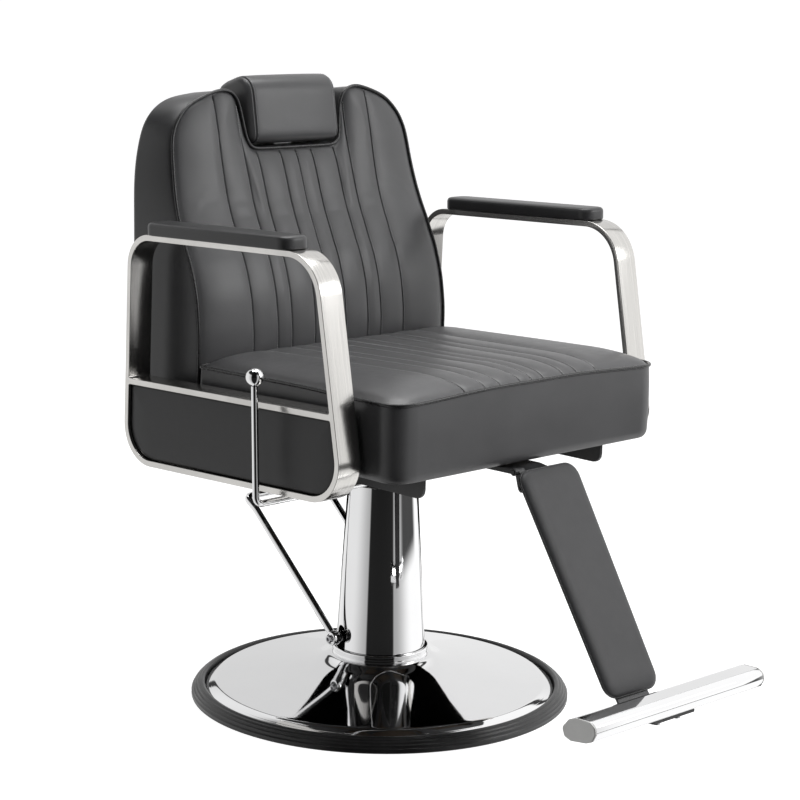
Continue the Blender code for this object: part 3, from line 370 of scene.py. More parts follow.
def add_mesh(name, mesh, look, angle):
    """Object with a smooth mesh, creased where it turns more than angle degrees."""
    mesh.polygons.foreach_set("use_smooth", [True] * len(mesh.polygons))
    mesh.set_sharp_from_angle(angle=math.radians(angle))
    mesh.materials.clear()
    mesh.materials.append(look)
    made = bpy.data.objects.new(name, mesh)
    scene.collection.objects.link(made)
    return made


def piece(name, shape, look, angle=35.0, recalc=True):
    """Object from a (vertices, faces) shape."""
    verts, faces = shape
    mesh = bpy.data.meshes.new(name)
    mesh.from_pydata([tuple(map(float, point)) for point in verts], [],
                     [tuple(map(int, face)) for face in faces])
    if recalc:
        face_outward(mesh, merge=1e-7)
    return add_mesh(name, mesh, look, angle)


def give(made, body, slot, *stands_for):
    """Ties an object to its moving body and hides the frame nodes it replaces. The slot is not
    used.
    """
    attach(made, body)
    if stands_for:
        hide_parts(*stands_for)


def baked(source):
    bpy.context.view_layer.update()
    graph = bpy.context.evaluated_depsgraph_get()
    return bpy.data.meshes.new_from_object(source.evaluated_get(graph))


def cut(target, tools, angle):
    """Subtracts the tools, drops them and creases the result."""
    for tool in tools:
        boolean = target.modifiers.new("b", "BOOLEAN")
        boolean.operation = "DIFFERENCE"
        boolean.solver = "EXACT"
        boolean.object = tool
    mesh = baked(target)
    target.modifiers.clear()
    target.data = mesh
    for tool in tools:
        bpy.data.objects.remove(tool, do_unlink=True)
    mesh.set_sharp_from_angle(angle=math.radians(angle))


def loft(rings, closed=False):
    """Rings of equal length joined in order, capped unless closed on themselves."""
    size, count = len(rings[0]), len(rings)
    verts = [point for ring in rings for point in ring]
    faces = []
    for k in range(count if closed else count - 1):
        here, after = k * size, ((k + 1) % count) * size
        for i in range(size):
            j = (i + 1) % size
            faces.append((here + i, here + j, after + j, after + i))
    if not closed:
        faces.append(tuple(range(size))[::-1])
        faces.append(tuple(range((count - 1) * size, count * size)))
    return verts, faces


def revolve(profile, steps, place=lambda x, y, z: (x, y, z)):
    """Closed profile of (radius, z) turned about Z, then placed."""
    rings = []
    for k in range(steps):
        angle = math.tau * k / steps
        rings.append([place(radius * math.cos(angle), radius * math.sin(angle), z)
                      for radius, z in profile])
    return loft(rings, closed=True)


def mirrored(profile):
    """The (size, height) profile after its own reflection in height zero."""
    return [(size, -height) for size, height in profile[::-1]] + list(profile)


def circle(x, y, z, radius, steps):
    return [(x + radius * math.cos(angle), y + radius * math.sin(angle), z)
            for angle in np.linspace(0, math.tau, steps, endpoint=False)]


def fillet(before, corner, after, radius):
    """Arc in a corner: its centre, and its ends measured from the centre."""
    corner = Vector(corner)
    back = (Vector(before) - corner).normalized()
    ahead = (Vector(after) - corner).normalized()
    half = math.acos(max(-1, min(1, back.dot(ahead)))) / 2
    centre = corner + (back + ahead).normalized() * (radius / math.sin(half))
    run = radius / math.tan(half)
    return centre, corner + back * run - centre, corner + ahead * run - centre


def rounded(corners, steps):
    """Closed outline through (u, v, radius) corners."""
    outline = []
    for i, corner in enumerate(corners):
        radius = corner[2]
        centre, start, end = fillet(corners[i - 1][:2], corner[:2],
                                    corners[(i + 1) % len(corners)][:2], radius)
        first = math.atan2(start.y, start.x)
        turn = (math.atan2(end.y, end.x) - first + math.pi) % math.tau - math.pi
        for k in range(steps + 1):
            angle = first + turn * k / steps
            outline.append((centre.x + radius * math.cos(angle),
                            centre.y + radius * math.sin(angle)))
    return outline


def arc_path(points, radii, steps):
    """Open 3-D path with its inner corners rounded."""
    path = [Vector(points[0])]
    for i, radius in enumerate(radii):
        centre, start, end = fillet(*points[i:i + 3], radius)
        turn = start.angle(end)
        for k in range(steps + 1):
            part = k / steps
            path.append(centre + (start * math.sin((1 - part) * turn)
                                  + end * math.sin(part * turn)) / math.sin(turn))
    return path + [Vector(points[-1])]


def inset(corners, distance):
    """(u, v, radius) corners moved in from every side by a distance."""
    count = len(corners)
    points = [Vector(corner[:2]) for corner in corners]
    area = sum(points[i - 1].x * points[i].y - points[i].x * points[i - 1].y
               for i in range(count))
    sign = 1 if area > 0 else -1
    lines = []
    for i, point in enumerate(points):
        along = (points[(i + 1) % count] - point).normalized()
        lines.append((point + Vector((-along.y, along.x)) * sign * distance, along))
    moved = []
    for i in range(count):
        (start, along), (other, across) = lines[i - 1], lines[i]
        gap = other - start
        run = ((gap.x * across.y - gap.y * across.x)
               / (along.x * across.y - along.y * across.x))
        point = start + along * run
        moved.append((point.x, point.y, max(corners[i][2] - distance, 0.0006)))
    return moved


def pillow(corners, levels, place, steps):
    """A padded plate: the outline drawn in at each (inset, height) level."""
    return loft([[place(u, v, height) for u, v in rounded(inset(corners, distance), steps)]
                 for distance, height in levels])


def unit(vectors):
    return vectors / np.linalg.norm(vectors, axis=-1)[..., None]


def sweep(path, radius, sides, loop_normal=None):
    """Round section along an open path, or along a loop lying square to loop_normal."""
    points = np.array(path, float)
    if loop_normal is not None:
        along = unit(np.roll(points, -1, 0) - np.roll(points, 1, 0))
        across = unit(np.cross(along, np.broadcast_to(loop_normal, along.shape)))
    else:
        along = unit(np.gradient(points, axis=0))
        across = np.zeros_like(points)
        carried = np.array((1.0, 0, 0)) if abs(along[0][0]) < 0.9 else np.array((0, 1.0, 0))
        for i, ahead in enumerate(along):
            carried = unit(carried - ahead * (carried @ ahead))
            across[i] = carried
    other = np.cross(along, across)
    angles = np.linspace(0, math.tau, sides, endpoint=False)
    rings = [[points[i] + radius * (math.cos(angle) * across[i] + math.sin(angle) * other[i])
              for angle in angles] for i in range(len(points))]
    return loft(rings, closed=loop_normal is not None)


def spline(keys, steps):
    """Catmull-Rom curve through 2-D keys, with steps points per span."""
    keys = np.array(keys, float)
    padded = np.vstack([2 * keys[0] - keys[1], keys, 2 * keys[-1] - keys[-2]])
    curve = []
    for i in range(1, len(padded) - 2):
        before, start, end, after = padded[i - 1:i + 3]
        for j in range(steps):
            part = j / steps
            curve.append(0.5 * ((2 * start) + (end - before) * part
                                + (2 * before - 5 * start + 4 * end - after) * part ** 2
                                + (3 * start - before - 3 * end + after) * part ** 3))
    curve.append(keys[-1])
    return np.array(curve)


def run_lengths(points):
    """Distance travelled at each point of a path."""
    steps = np.linalg.norm(np.diff(points, axis=0), axis=1)
    return np.concatenate([[0], np.cumsum(steps)])


def path_at(where, run, points):
    return np.stack([np.interp(where, run, column) for column in points.T], -1)


def close_loop(points):
    return np.vstack([points, points[:1]])


def respaced(loop, count=None, step=None):
    """Closed loop with evenly spaced points, by count or by step."""
    closed = close_loop(loop)
    run = run_lengths(closed)
    if step:
        count = max(8, int(run[-1] / step))
    return path_at(np.linspace(0, run[-1], count, endpoint=False), run, closed)


def smooth_loop(loop, times):
    for _ in range(times):
        loop = 0.25 * np.roll(loop, 1, 0) + 0.5 * loop + 0.25 * np.roll(loop, -1, 0)
    return loop


def outward(loop):
    """Outward unit normals of a closed 2-D loop."""
    along = np.roll(loop, -1, 0) - np.roll(loop, 1, 0)
    along /= np.maximum(np.linalg.norm(along, axis=1), 1e-12)[:, None]
    area = (loop[:, 0] * np.roll(loop[:, 1], -1) - np.roll(loop[:, 0], -1) * loop[:, 1]).sum()
    normals = np.stack([along[:, 1], -along[:, 0]], 1)
    return normals if area > 0 else -normals


# ================================================================ base
# Profiles are (radius, z).
DOME_OUTER = [(0.0752, 0.0672), (0.0790, 0.0664), (0.0825, 0.0648), (0.0880, 0.0617),
              (0.0980, 0.0571), (0.1130, 0.0525), (0.1300, 0.0489), (0.1570, 0.0441),
              (0.1850, 0.0393), (0.2180, 0.0336), (0.2440, 0.0291), (0.2560, 0.0270),
              (0.2600, 0.0259), (0.2630, 0.0244), (0.2680, 0.0212), (0.2730, 0.0178),
              (0.2755, 0.0155), (0.2768, 0.0125), (0.2772, 0.0064)]
DOME_INNER = [(0.2748, 0.0064), (0.2735, 0.0150), (0.2690, 0.0208), (0.2500, 0.0262),
              (0.1850, 0.0362), (0.1100, 0.0504), (0.0830, 0.0620), (0.0752, 0.0640)]
RING_OUTER = [(0.2786, 0.0212), (0.2822, 0.0226), (0.2872, 0.0206), (0.2922, 0.0168),
              (0.2966, 0.0118), (0.2992, 0.0064), (0.2985, 0.0018)]
RING_INNER = [(0.2950, 0.0000), (0.2780, 0.0000), (0.2776, 0.0100)]
COLLAR = [(0.0722, 0.0810), (0.0748, 0.0811), (0.0757, 0.0808), (0.0764, 0.0800),
          (0.0766, 0.0790), (0.0766, 0.0735), (0.0762, 0.0728), (0.0762, 0.0722),
          (0.0766, 0.0715), (0.0766, 0.0682), (0.0763, 0.0674), (0.0755, 0.0670),
          (0.0722, 0.0670)]
COLUMN = [(0.0529, 0.3450), (0.0545, 0.3452), (0.0550, 0.3445), (0.0551, 0.3430),
          (0.0571, 0.3090), (0.0603, 0.2550), (0.0642, 0.1880), (0.0681, 0.1230),
          (0.0714, 0.0674), (0.0694, 0.0672), (0.0661, 0.1230), (0.0622, 0.1880),
          (0.0583, 0.2550), (0.0531, 0.3420)]
# slot through the column along X, as (y, z, corner radius)
COLUMN_SLOT = ((0.0075, 0.055, 0.0008), (0.0325, 0.055, 0.0008),
               (0.0325, 0.1175, 0.0122), (0.0075, 0.1175, 0.0122))


def ribbed_ring():
    """Profile of the rubber ring, with five ribs moulded in its outer face."""
    rib_start, rib_end, rib_span = 0.16, 0.97, 0.81   # as parts of the profile's length
    outer = spline(RING_OUTER, 12)
    slope = np.gradient(outer, axis=0)
    normals = -unit(np.stack([-slope[:, 1], slope[:, 0]], 1))
    run = run_lengths(outer)
    run /= run[-1]
    wave = np.abs(np.sin((run - rib_start) / rib_span * math.pi * 5)) ** 0.6 - 0.55
    ribs = np.where((run > rib_start) & (run < rib_end), wave, -0.2)
    return [*(outer + normals * (ribs * 0.0011)[:, None]), *RING_INNER]


give(piece("dome_shell", revolve([*spline(DOME_OUTER, 3), *DOME_INNER], 192), DOME_CHROME, 45),
     "base", "chrome", "base_dome")
give(piece("rubber_ring", revolve(ribbed_ring(), 192), RUBBER, 60),
     "base", "rubber", "base_ring")
give(piece("column_foot_ring", revolve(COLLAR, 128), CHROME, 40),
     "base", "chrome", "column_collar")
column = piece("column_shell", revolve(COLUMN, 128), CHROME, 40)
slot_shape = loft([[(x, y, z) for y, z in rounded(COLUMN_SLOT, 8)] for x in (-0.10, 0.10)])
cut(column, [piece("slot_tool", slot_shape, CHROME)], angle=40)
give(column, "base", "chrome", "column_cover")

# ---------------------------------------------------------------- foot pump lever
# A rod bent into a U, clamped at both ends to a shaft across the column.
LEVER_X, SHAFT_Y, SHAFT_Z = 0.0810, 0.020, 0.100
SHAFT_HALF = 0.0880
LEVER_HALF = [(-LEVER_X, SHAFT_Y + 0.0085, SHAFT_Z + 0.0078), (-LEVER_X, 0.2100, 0.2720),
              (-LEVER_X, 0.2360, 0.2885)]
# (radius, height along the shaft)
BOSS_HALF = [(0.0105, 0.0026), (0.0111, 0.0030), (0.0111, 0.0078), (0.0107, 0.0086),
             (0.0100, 0.0090), (0.0083, 0.0090)]
BOSS_END = BOSS_HALF[-1][1]
SCREW = [(0.0006, 0.0030), (0.0024, 0.0030), (0.0028, 0.0048), (0.0040, 0.0050),
         (0.0053, 0.0044), (0.0058, 0.0030), (0.0060, 0.0004), (0.0006, 0.0004)]

lever_path = arc_path(LEVER_HALF + [(-x, y, z) for x, y, z in LEVER_HALF[::-1]],
                      (0.030, 0.0120, 0.0120, 0.030), 10)
give(piece("foot_lever_rod", sweep(lever_path, 0.0060, 24), CHROME, 40),
     "foot_lever", "chrome", "pump_lever")
shaft_path = [(x, SHAFT_Y, SHAFT_Z) for x in np.linspace(-SHAFT_HALF, SHAFT_HALF, 12)]
give(piece("pump_cross_shaft", sweep(shaft_path, 0.0080, 32), CHROME, 40),
     "foot_lever", "chrome", "pump_shaft")
for side, sign in SIDES:
    def boss_place(x, y, z):
        return sign * LEVER_X + z, SHAFT_Y + x, SHAFT_Z + y

    def screw_place(x, y, z):
        return boss_place(x, y, sign * (BOSS_END + z))

    give(piece("clamp_boss_" + side, revolve(mirrored(BOSS_HALF), 40, boss_place), CHROME, 40),
         "foot_lever", "chrome", "lever_clamp_" + side)
    give(piece("boss_screw_" + side, revolve(SCREW, 32, screw_place), STEEL, 40),
         "foot_lever", "steel", "clamp_screw_" + side)

# ================================================================ arms
ARM_X, ARM_HALF_WIDTH, ARM_THICK = 0.3119, 0.0208, 0.0090
# (y, z, radius): rear top, front top, front bottom, rear bottom
ARM = ((0.2158, 0.7374, 0.052), (-0.2067, 0.7498, 0.070),
       (-0.2697, 0.4004, 0.060), (0.2297, 0.3835, 0.060))
RAIL_REAR, RAIL_FRONT = (0.2119, 0.5155), (-0.2400, 0.5290)   # (y, z) on the rail's top
ARM_INNER = inset(ARM, ARM_THICK)

PANEL_X = ARM_X + 0.0012
PANEL_BULGE = 0.96                 # share of the table's heights that is built
PANEL_HALF = [(0.0030, 0.0100), (0.0005, 0.0112), (0.0, 0.0125), (0.0002, 0.0138),
              (0.0012, 0.0150), (0.0030, 0.0158), (0.0060, 0.0163), (0.0130, 0.0170),
              (0.0260, 0.0176), (0.0420, 0.0179)]

PAD_X, PAD_Y = 0.3150, 0.009
PAD_HALF_HEIGHT, PAD_GAP = 0.0095, 0.0003
PAD_SLOPE = math.atan2(ARM[1][1] - ARM[0][1], ARM[0][0] - ARM[1][0])
PAD_Z = (ARM[0][1] + (ARM[0][0] - PAD_Y) * math.tan(PAD_SLOPE)
         + (PAD_HALF_HEIGHT + PAD_GAP) / math.cos(PAD_SLOPE))
PAD_PLAN = ((-0.0255, -0.161, 0.0195), (0.0255, -0.161, 0.0195),
            (0.0255, 0.161, 0.0195), (-0.0255, 0.161, 0.0195))
PAD_LEVELS = [(0.0060, -0.0095), (0.0018, -0.0095), (0.0008, -0.0091), (0.0002, -0.0084),
              (0.0, -0.0070), (0.0, 0.0030), (0.0003, 0.0050), (0.0012, 0.0070),
              (0.0028, 0.0085), (0.0050, 0.0094), (0.0085, 0.0099), (0.0140, 0.0102),
              (0.0200, 0.0104)]


def rail_corners(drop):
    """Corners where the rail, lowered by drop, meets the loop: front, then rear."""
    corners = []
    for rail, top, bottom in ((RAIL_FRONT, ARM_INNER[1], ARM_INNER[2]),
                              (RAIL_REAR, ARM_INNER[0], ARM_INNER[3])):
        part = (rail[1] - drop - top[1]) / (bottom[1] - top[1])
        y = top[0] + (bottom[0] - top[0]) * part
        z = RAIL_REAR[1] + ((RAIL_FRONT[1] - RAIL_REAR[1]) * (RAIL_REAR[0] - y)
                            / (RAIL_REAR[0] - RAIL_FRONT[0]))
        corners.append((y, z - drop, 0.003))
    return corners


def extrude_outline(name, outlines, half_width, x, look, bevel):
    """Flat (y, z) outline with holes, extruded along X with rounded edges."""
    curve = bpy.data.curves.new(name, "CURVE")
    curve.dimensions = "2D"
    curve.fill_mode = "BOTH"
    curve.extrude = half_width - bevel
    curve.bevel_depth = bevel
    curve.bevel_resolution = 3
    curve.offset = -bevel
    for outline in outlines:
        line = curve.splines.new("POLY")
        line.points.add(len(outline) - 1)
        for target, (y, z) in zip(line.points, outline):
            target.co = (y, z, 0.0, 1.0)
        line.use_cyclic_u = True
    holder = bpy.data.objects.new(name + "_c", curve)
    scene.collection.objects.link(holder)
    mesh = baked(holder)
    bpy.data.objects.remove(holder, do_unlink=True)
    # curve x, y, z become chair y, z, x
    mesh.transform(Matrix.Translation((x, 0, 0))
                   @ Matrix(((0, 0, 1, 0), (1, 0, 0, 0), (0, 1, 0, 0), (0, 0, 0, 1))))
    face_outward(mesh, merge=1e-6)
    mesh.name = name
    return add_mesh(name, mesh, look, 32)


front_corner, rear_corner = rail_corners(0.0)
UPPER_OPENING = [ARM_INNER[0], ARM_INNER[1], front_corner, rear_corner]
front_corner, rear_corner = rail_corners(ARM_THICK)
LOWER_OPENING = [rear_corner, front_corner, ARM_INNER[2], ARM_INNER[3]]
PANEL_CORNERS = [(y, z, max(radius, 0.007)) for y, z, radius in inset(LOWER_OPENING, 0.0010)]

for side, sign in SIDES:
    def panel_place(y, z, height):
        return sign * PANEL_X + sign * height * PANEL_BULGE, y, z

    def pad_place(x, along, height):
        lean, rise = math.cos(-PAD_SLOPE), math.sin(-PAD_SLOPE)
        return (sign * PAD_X + x, PAD_Y + along * lean - height * rise,
                PAD_Z + along * rise + height * lean)

    outlines = [rounded(ARM, 24), rounded(UPPER_OPENING, 20), rounded(LOWER_OPENING, 20)]
    give(extrude_outline("arm_loop_" + side, outlines, ARM_HALF_WIDTH, sign * ARM_X, STAINLESS,
                         bevel=0.0009),
         "seat", "stainless", "arm_frame_" + side)
    give(piece("arm_panel_soft_" + side,
               pillow(PANEL_CORNERS, mirrored(PANEL_HALF), panel_place, 10), PANEL_LEATHER, 70),
         "seat", "leatherette", "arm_panel_" + side)
    give(piece("arm_pad_moulded_" + side, pillow(PAD_PLAN, PAD_LEVELS, pad_place, 10),
               PAD_PLASTIC, 60),
         "seat", "plastic", "arm_pad_" + side)

# ================================================================ cushions
# Seat and back are grids. Columns run across X: whole numbers -4..4 are seams and -5 and 5
# the side edges. Rows run from front to rear, or from bottom to top.
LAST_SEAM, SIDE_EDGE = 4, 5
GROOVE_OFFSETS = (0.0008, 0.0016, 0.0027, 0.0043, 0.0066)    # extra columns beside a seam
GROOVE_REACH = 0.0075
STITCH_OFFSET = 0.0016             # from the seam, on the side away from the middle


def column_widths(seams):
    """Width of each strip by its lower column number, from the right half's seams."""
    return {k: float(seams[k + 1] - seams[k] if k >= 0 else seams[-k] - seams[-k - 1])
            for k in range(-SIDE_EDGE, SIDE_EDGE)}


def even_columns(outer_steps, inner_steps):
    columns = []
    for k in range(-SIDE_EDGE, SIDE_EDGE):
        steps = outer_steps if abs(k + 0.5) > LAST_SEAM else inner_steps
        columns += [k + i / steps for i in range(steps)]
    return np.array(columns + [SIDE_EDGE])


def fine_columns(widths):
    """Even columns, crowded round each seam."""
    columns = {round(float(column), 5) for column in even_columns(26, 14)}
    for seam in range(-LAST_SEAM, LAST_SEAM + 1):
        start = seam - GROOVE_REACH / widths[seam - 1]
        end = seam + GROOVE_REACH / widths[seam]
        columns = {column for column in columns if not start < column < end} | {float(seam)}
        for offset in GROOVE_OFFSETS:
            columns.add(round(seam + offset / widths[seam], 5))
            columns.add(round(seam - offset / widths[seam - 1], 5))
    return np.array(sorted(columns))


def seam_offsets(columns, widths):
    """Signed distance of each column from its nearest seam."""
    seams = np.clip(np.rint(columns), -LAST_SEAM, LAST_SEAM).astype(int)
    return np.array([(column - seam) * widths[seam if column >= seam else seam - 1]
                     for column, seam in zip(columns, seams)])


def eased_rows(count, even):
    """0..1, part evenly spaced and part crowded at the ends."""
    steps = np.linspace(0, 1, count)
    return even * steps + (1 - even) * (0.5 - 0.5 * np.cos(steps * math.pi))


def resample(values, old, new, axis):
    """Cubic Hermite resampling of grid values along one axis."""
    values = np.moveaxis(values, axis, 0)
    left = np.clip(np.searchsorted(old, new, side="right") - 1, 0, len(old) - 2)
    gap = (old[left + 1] - old[left])[:, None]
    part = (new - old[left])[:, None] / gap
    slope = np.gradient(values, old, axis=0)
    fitted = ((2 * part ** 3 - 3 * part ** 2 + 1) * values[left]
              + (part ** 3 - 2 * part ** 2 + part) * gap * slope[left]
              + (-2 * part ** 3 + 3 * part ** 2) * values[left + 1]
              + (part ** 3 - part ** 2) * gap * slope[left + 1])
    return np.moveaxis(fitted, 0, axis)


def border_index(columns, rows):
    """Flat indices of a grid's border points, in order round it."""
    border = [i * rows for i in range(columns)]
    border += [(columns - 1) * rows + j for j in range(1, rows)]
    border += [i * rows + rows - 1 for i in range(columns - 2, -1, -1)]
    return border + list(range(rows - 2, 0, -1))


def rim_of(grid):
    return grid.reshape(-1, 3)[border_index(*grid.shape[:2])]


def closed_grid(front, rear, rings):
    """Front grid, rear grid of the same size and the rings of the boxing between them."""
    columns, rows = front.shape[:2]
    size = columns * rows
    verts = list(front.reshape(-1, 3)) + list(rear.reshape(-1, 3))
    faces = []
    for i in range(columns - 1):
        for j in range(rows - 1):
            here, beside = i * rows + j, (i + 1) * rows + j
            faces.append((here, beside, beside + 1, here + 1))
            faces.append((size + here, size + here + 1, size + beside + 1, size + beside))
    border = border_index(columns, rows)
    count = len(border)
    belts = [border]
    for ring in rings:
        belts.append(range(len(verts), len(verts) + count))
        verts += list(ring)
    belts.append([size + index for index in border])
    for before, after in zip(belts, belts[1:]):
        for i in range(count):
            j = (i + 1) % count
            faces.append((before[i], after[i], after[j], before[j]))
    return verts, faces


def grid_normals(grid):
    normals = np.cross(np.gradient(grid, axis=0), np.gradient(grid, axis=1))
    return normals / np.maximum(np.linalg.norm(normals, axis=2), 1e-12)[:, :, None]


def edge_distance(points, loop):
    """Distance of each 2-D point to a closed polyline."""
    starts = np.array(loop)
    sides = np.roll(starts, -1, 0) - starts
    squares = np.maximum((sides ** 2).sum(1), 1e-12)
    flat = points.reshape(-1, 2)
    best = np.full(len(flat), 1e9)
    for start, side, square in zip(starts, sides, squares):
        part = np.clip(((flat - start) @ side) / square, 0, 1)
        best = np.minimum(best, np.linalg.norm(flat - (start + part[:, None] * side), axis=1))
    return best.reshape(points.shape[:-1])


def inflate(name, front, rear, rings, columns, swell):
    """Cloth under air pressure, held at the border and the seams.

    Returns how far each front point rose, softly limited to swell.
    """
    blank = piece(name, closed_grid(front, rear, rings), SEAT_LEATHER, 80, recalc=False)
    face_outward(blank.data)
    free = np.ones(front.shape[:2], bool)
    free[np.abs(columns - np.rint(columns)) < 1e-6] = False
    free[:, 0] = free[:, -1] = False
    pinned = np.flatnonzero(~free).tolist()
    group = blank.vertex_groups.new(name="pin")
    group.add(pinned + list(range(free.size, len(blank.data.vertices))), 1.0, "REPLACE")
    cloth = blank.modifiers.new("Cloth", "CLOTH")
    settings = cloth.settings
    settings.quality = 6
    settings.mass = 0.3
    settings.tension_stiffness = 18
    settings.compression_stiffness = 18
    settings.shear_stiffness = 8
    settings.bending_stiffness = 1.5
    settings.use_pressure = True
    settings.uniform_pressure_force = 4.0
    settings.vertex_group_mass = "pin"
    settings.pin_stiffness = 1.0
    settings.effector_weights.gravity = 0.0
    cloth.collision_settings.use_collision = False
    cloth.point_cache.frame_start = scene.frame_start = 1
    cloth.point_cache.frame_end = scene.frame_end = 24
    for number in range(1, 22):
        scene.frame_set(number)
    graph = bpy.context.evaluated_depsgraph_get()
    mesh = blank.evaluated_get(graph).to_mesh()
    places = np.empty(len(mesh.vertices) * 3)
    mesh.vertices.foreach_get("co", places)
    places = places.reshape(-1, 3)[:free.size].reshape(front.shape)
    bpy.data.objects.remove(blank, do_unlink=True)
    scene.frame_set(1)
    rise = ((places - front) * grid_normals(front)).sum(2)
    # count the rise as positive whichever way the cloth swelled
    if abs(rise.min()) > abs(rise.max()):
        rise = -rise
    return swell * np.tanh(np.maximum(rise, 0) / swell)


def groove(offset):
    """Depth of the surface at an offset from a seam: sharp line, shoulders, wide dip."""
    return (-0.0017 * np.exp(-(offset / 0.00095) ** 2)
            - 0.0004 * np.exp(-(offset / 0.0036) ** 2)
            - 0.0014 * np.exp(-(offset / 0.0100) ** 2))


def dress(front, plan, columns, rows, widths, puff, grooved, fade, edge):
    """Puffs a front grid, presses in its seams and puts its rim on the piping line.

    The grooves fade out over the length fade at both ends of the rows.
    """
    normals = grid_normals(front)
    front = front + normals * puff[:, :, None]
    if grooved:
        ends = np.clip((rows - rows[0]) / fade, 0, 1) * np.clip((rows[-1] - rows) / fade, 0, 1)
        depth = groove(seam_offsets(columns, widths))
        front = front + normals * (depth[:, None] * ends)[:, :, None]
    for line in (np.s_[0], np.s_[-1], np.s_[:, 0], np.s_[:, -1]):
        front[line] = edge(plan[line])
    return front, normals


def stitches(lines, line_normals):
    """Low, pointed beads laid end to end along seam lines."""
    pitch, length, half_width, half_height = 0.0040, 0.0027, 0.00050, 0.00045
    verts, faces = [], []
    for line, normals in zip(lines, line_normals):
        run = run_lengths(line)
        for centre in np.arange(pitch, run[-1] - pitch, pitch):
            start = path_at(centre - length / 2, run, line)
            end = path_at(centre + length / 2, run, line)
            rise = unit(path_at(centre, run, normals))
            side = np.cross(unit(end - start), rise)
            k = len(verts)
            verts += [start, end]
            for part in (0.28, 0.72):
                point = start + (end - start) * part
                verts += [point + rise * half_height, point + side * half_width,
                          point - rise * half_height, point - side * half_width]
            for i in range(4):
                j = (i + 1) % 4
                faces += [(k, k + 2 + j, k + 2 + i), (k + 1, k + 6 + i, k + 6 + j),
                          (k + 2 + i, k + 2 + j, k + 6 + j, k + 6 + i)]
    return verts, faces


def add_cushion(name, body, look, build, widths, outer_steps, coarse_rows, fine_rows, swell):
    """Cushion and its stitches; returns the rim of its front.

    build(columns, rows, puff, grooved) gives the front, rear, rings and front normals.
    """
    coarse = even_columns(outer_steps, 6)
    puff = np.zeros((len(coarse), len(coarse_rows)))
    front, rear, rings, normals = build(coarse, coarse_rows, puff, False)
    puff = inflate(name + "_blank", front, rear, rings, coarse, swell)
    columns = fine_columns(widths)
    puff = resample(resample(puff, coarse, columns, 0), coarse_rows, fine_rows, 1)
    front, rear, rings, normals = build(columns, fine_rows, np.maximum(puff, 0), True)
    give(piece(name + "_cushion_soft", closed_grid(front, rear, rings), look, 75),
         body, "leatherette", name + "_cushion")
    wanted = np.where(columns >= 0, STITCH_OFFSET, -STITCH_OFFSET)
    sewn = np.flatnonzero(np.abs(seam_offsets(columns, widths) - wanted) < 0.00015)
    normals = normals[sewn, 3:-3]
    lines = front[sewn, 3:-3] + normals * 0.00016
    give(piece(name + "_stitches", stitches(lines, normals), THREAD, 30, recalc=False),
         body, "leatherette")
    return rim_of(front)


def add_piping(name, body, rim, normal, out, lift, radius):
    """Round piping along a rim square to the axis normal, moved out and along the axis."""
    loop = smooth_loop(respaced(rim, step=0.0035), 2)
    plane = [axis for axis in range(3) if not normal[axis]]
    loop[:, plane] += outward(loop[:, plane]) * out
    loop += np.array(normal) * lift
    give(piece(name, sweep(loop, radius, 12, loop_normal=normal), PIPING, 60),
         body, "leatherette")


# ---------------------------------------------------------------- seat cushion
SEAT_FRONT, SEAT_REAR = -0.3180, 0.1270
FRONT_HALF, REAR_HALF = 0.2790, 0.2714           # half widths at the front and the rear
FRONT_RADIUS, REAR_RADIUS = 0.037, 0.016         # of the plan's corners
FRONT_SEAMS = np.array([0, 0.0245, 0.0670, 0.0980, 0.1400, FRONT_HALF])
REAR_SEAMS = np.array([0, 0.0330, 0.0810, 0.1100, 0.1600, REAR_HALF])
SEAT_WIDTHS = column_widths(REAR_SEAMS)
SEAT_BOTTOM = 0.4304
# depths of the rings down the side band, as parts of its height
SEAT_RINGS = (0.03, 0.08, 0.16, 0.28, 0.42, 0.56, 0.70, 0.80, 0.88, 0.915, 0.945, 0.97,
              0.988, 1.0)


def seat_part(y):
    """0 at the front of the seat, 1 at the rear."""
    return (y - SEAT_FRONT) / (SEAT_REAR - SEAT_FRONT)


def seat_rows(count, even=0.45):
    return SEAT_FRONT + (SEAT_REAR - SEAT_FRONT) * eased_rows(count, even)


def corner_cut(distance, radius):
    """How far a rounded corner stands in from its side, at a distance from the end."""
    if distance >= radius:
        return 0.0
    return radius - math.sqrt(max(0.0, radius ** 2 - (radius - distance) ** 2))


def seat_half(y):
    return (FRONT_HALF + (REAR_HALF - FRONT_HALF) * seat_part(y)
            - corner_cut(y - SEAT_FRONT, FRONT_RADIUS) - corner_cut(SEAT_REAR - y, REAR_RADIUS))


def edge_height(y):
    """Height of the piping round the top of the seat."""
    return 0.5480 - 0.0100 * seat_part(y)


def ease(part):
    return part * part * (3 - 2 * part)


def sag(x, y):
    """The front edge drops towards its corners and stands up between them."""
    aside = np.clip((np.abs(x) - 0.07) / 0.20, 0, 1)
    behind = np.clip((y - SEAT_FRONT) / 0.24, 0, 1)
    return (0.0012 - 0.0062 * ease(aside)) * (1 - ease(behind))


def seat_edge(plan):
    x, y = plan[..., 0], plan[..., 1]
    return np.stack([x, y, edge_height(y) + sag(x, y)], -1)


def seat_x(column, y):
    """X of a column at y; the outer strips are squeezed inside the rounded corners."""
    part = seat_part(y)
    seams = FRONT_SEAMS * (1 - part) + REAR_SEAMS * part
    reach = abs(column)
    x = np.interp(reach, range(SIDE_EDGE + 1), seams)
    half = seat_half(y)
    inner, outer = seams[LAST_SEAM], seams[SIDE_EDGE]
    if half < outer and reach > LAST_SEAM:
        x = inner + (x - inner) * (half - inner) / (outer - inner)
    return math.copysign(x, column) if column else 0.0


outline_rows = seat_rows(160, even=0.0)
SEAT_LOOP = ([(seat_half(y), y) for y in outline_rows]
             + [(-seat_half(y), y) for y in outline_rows[::-1]])


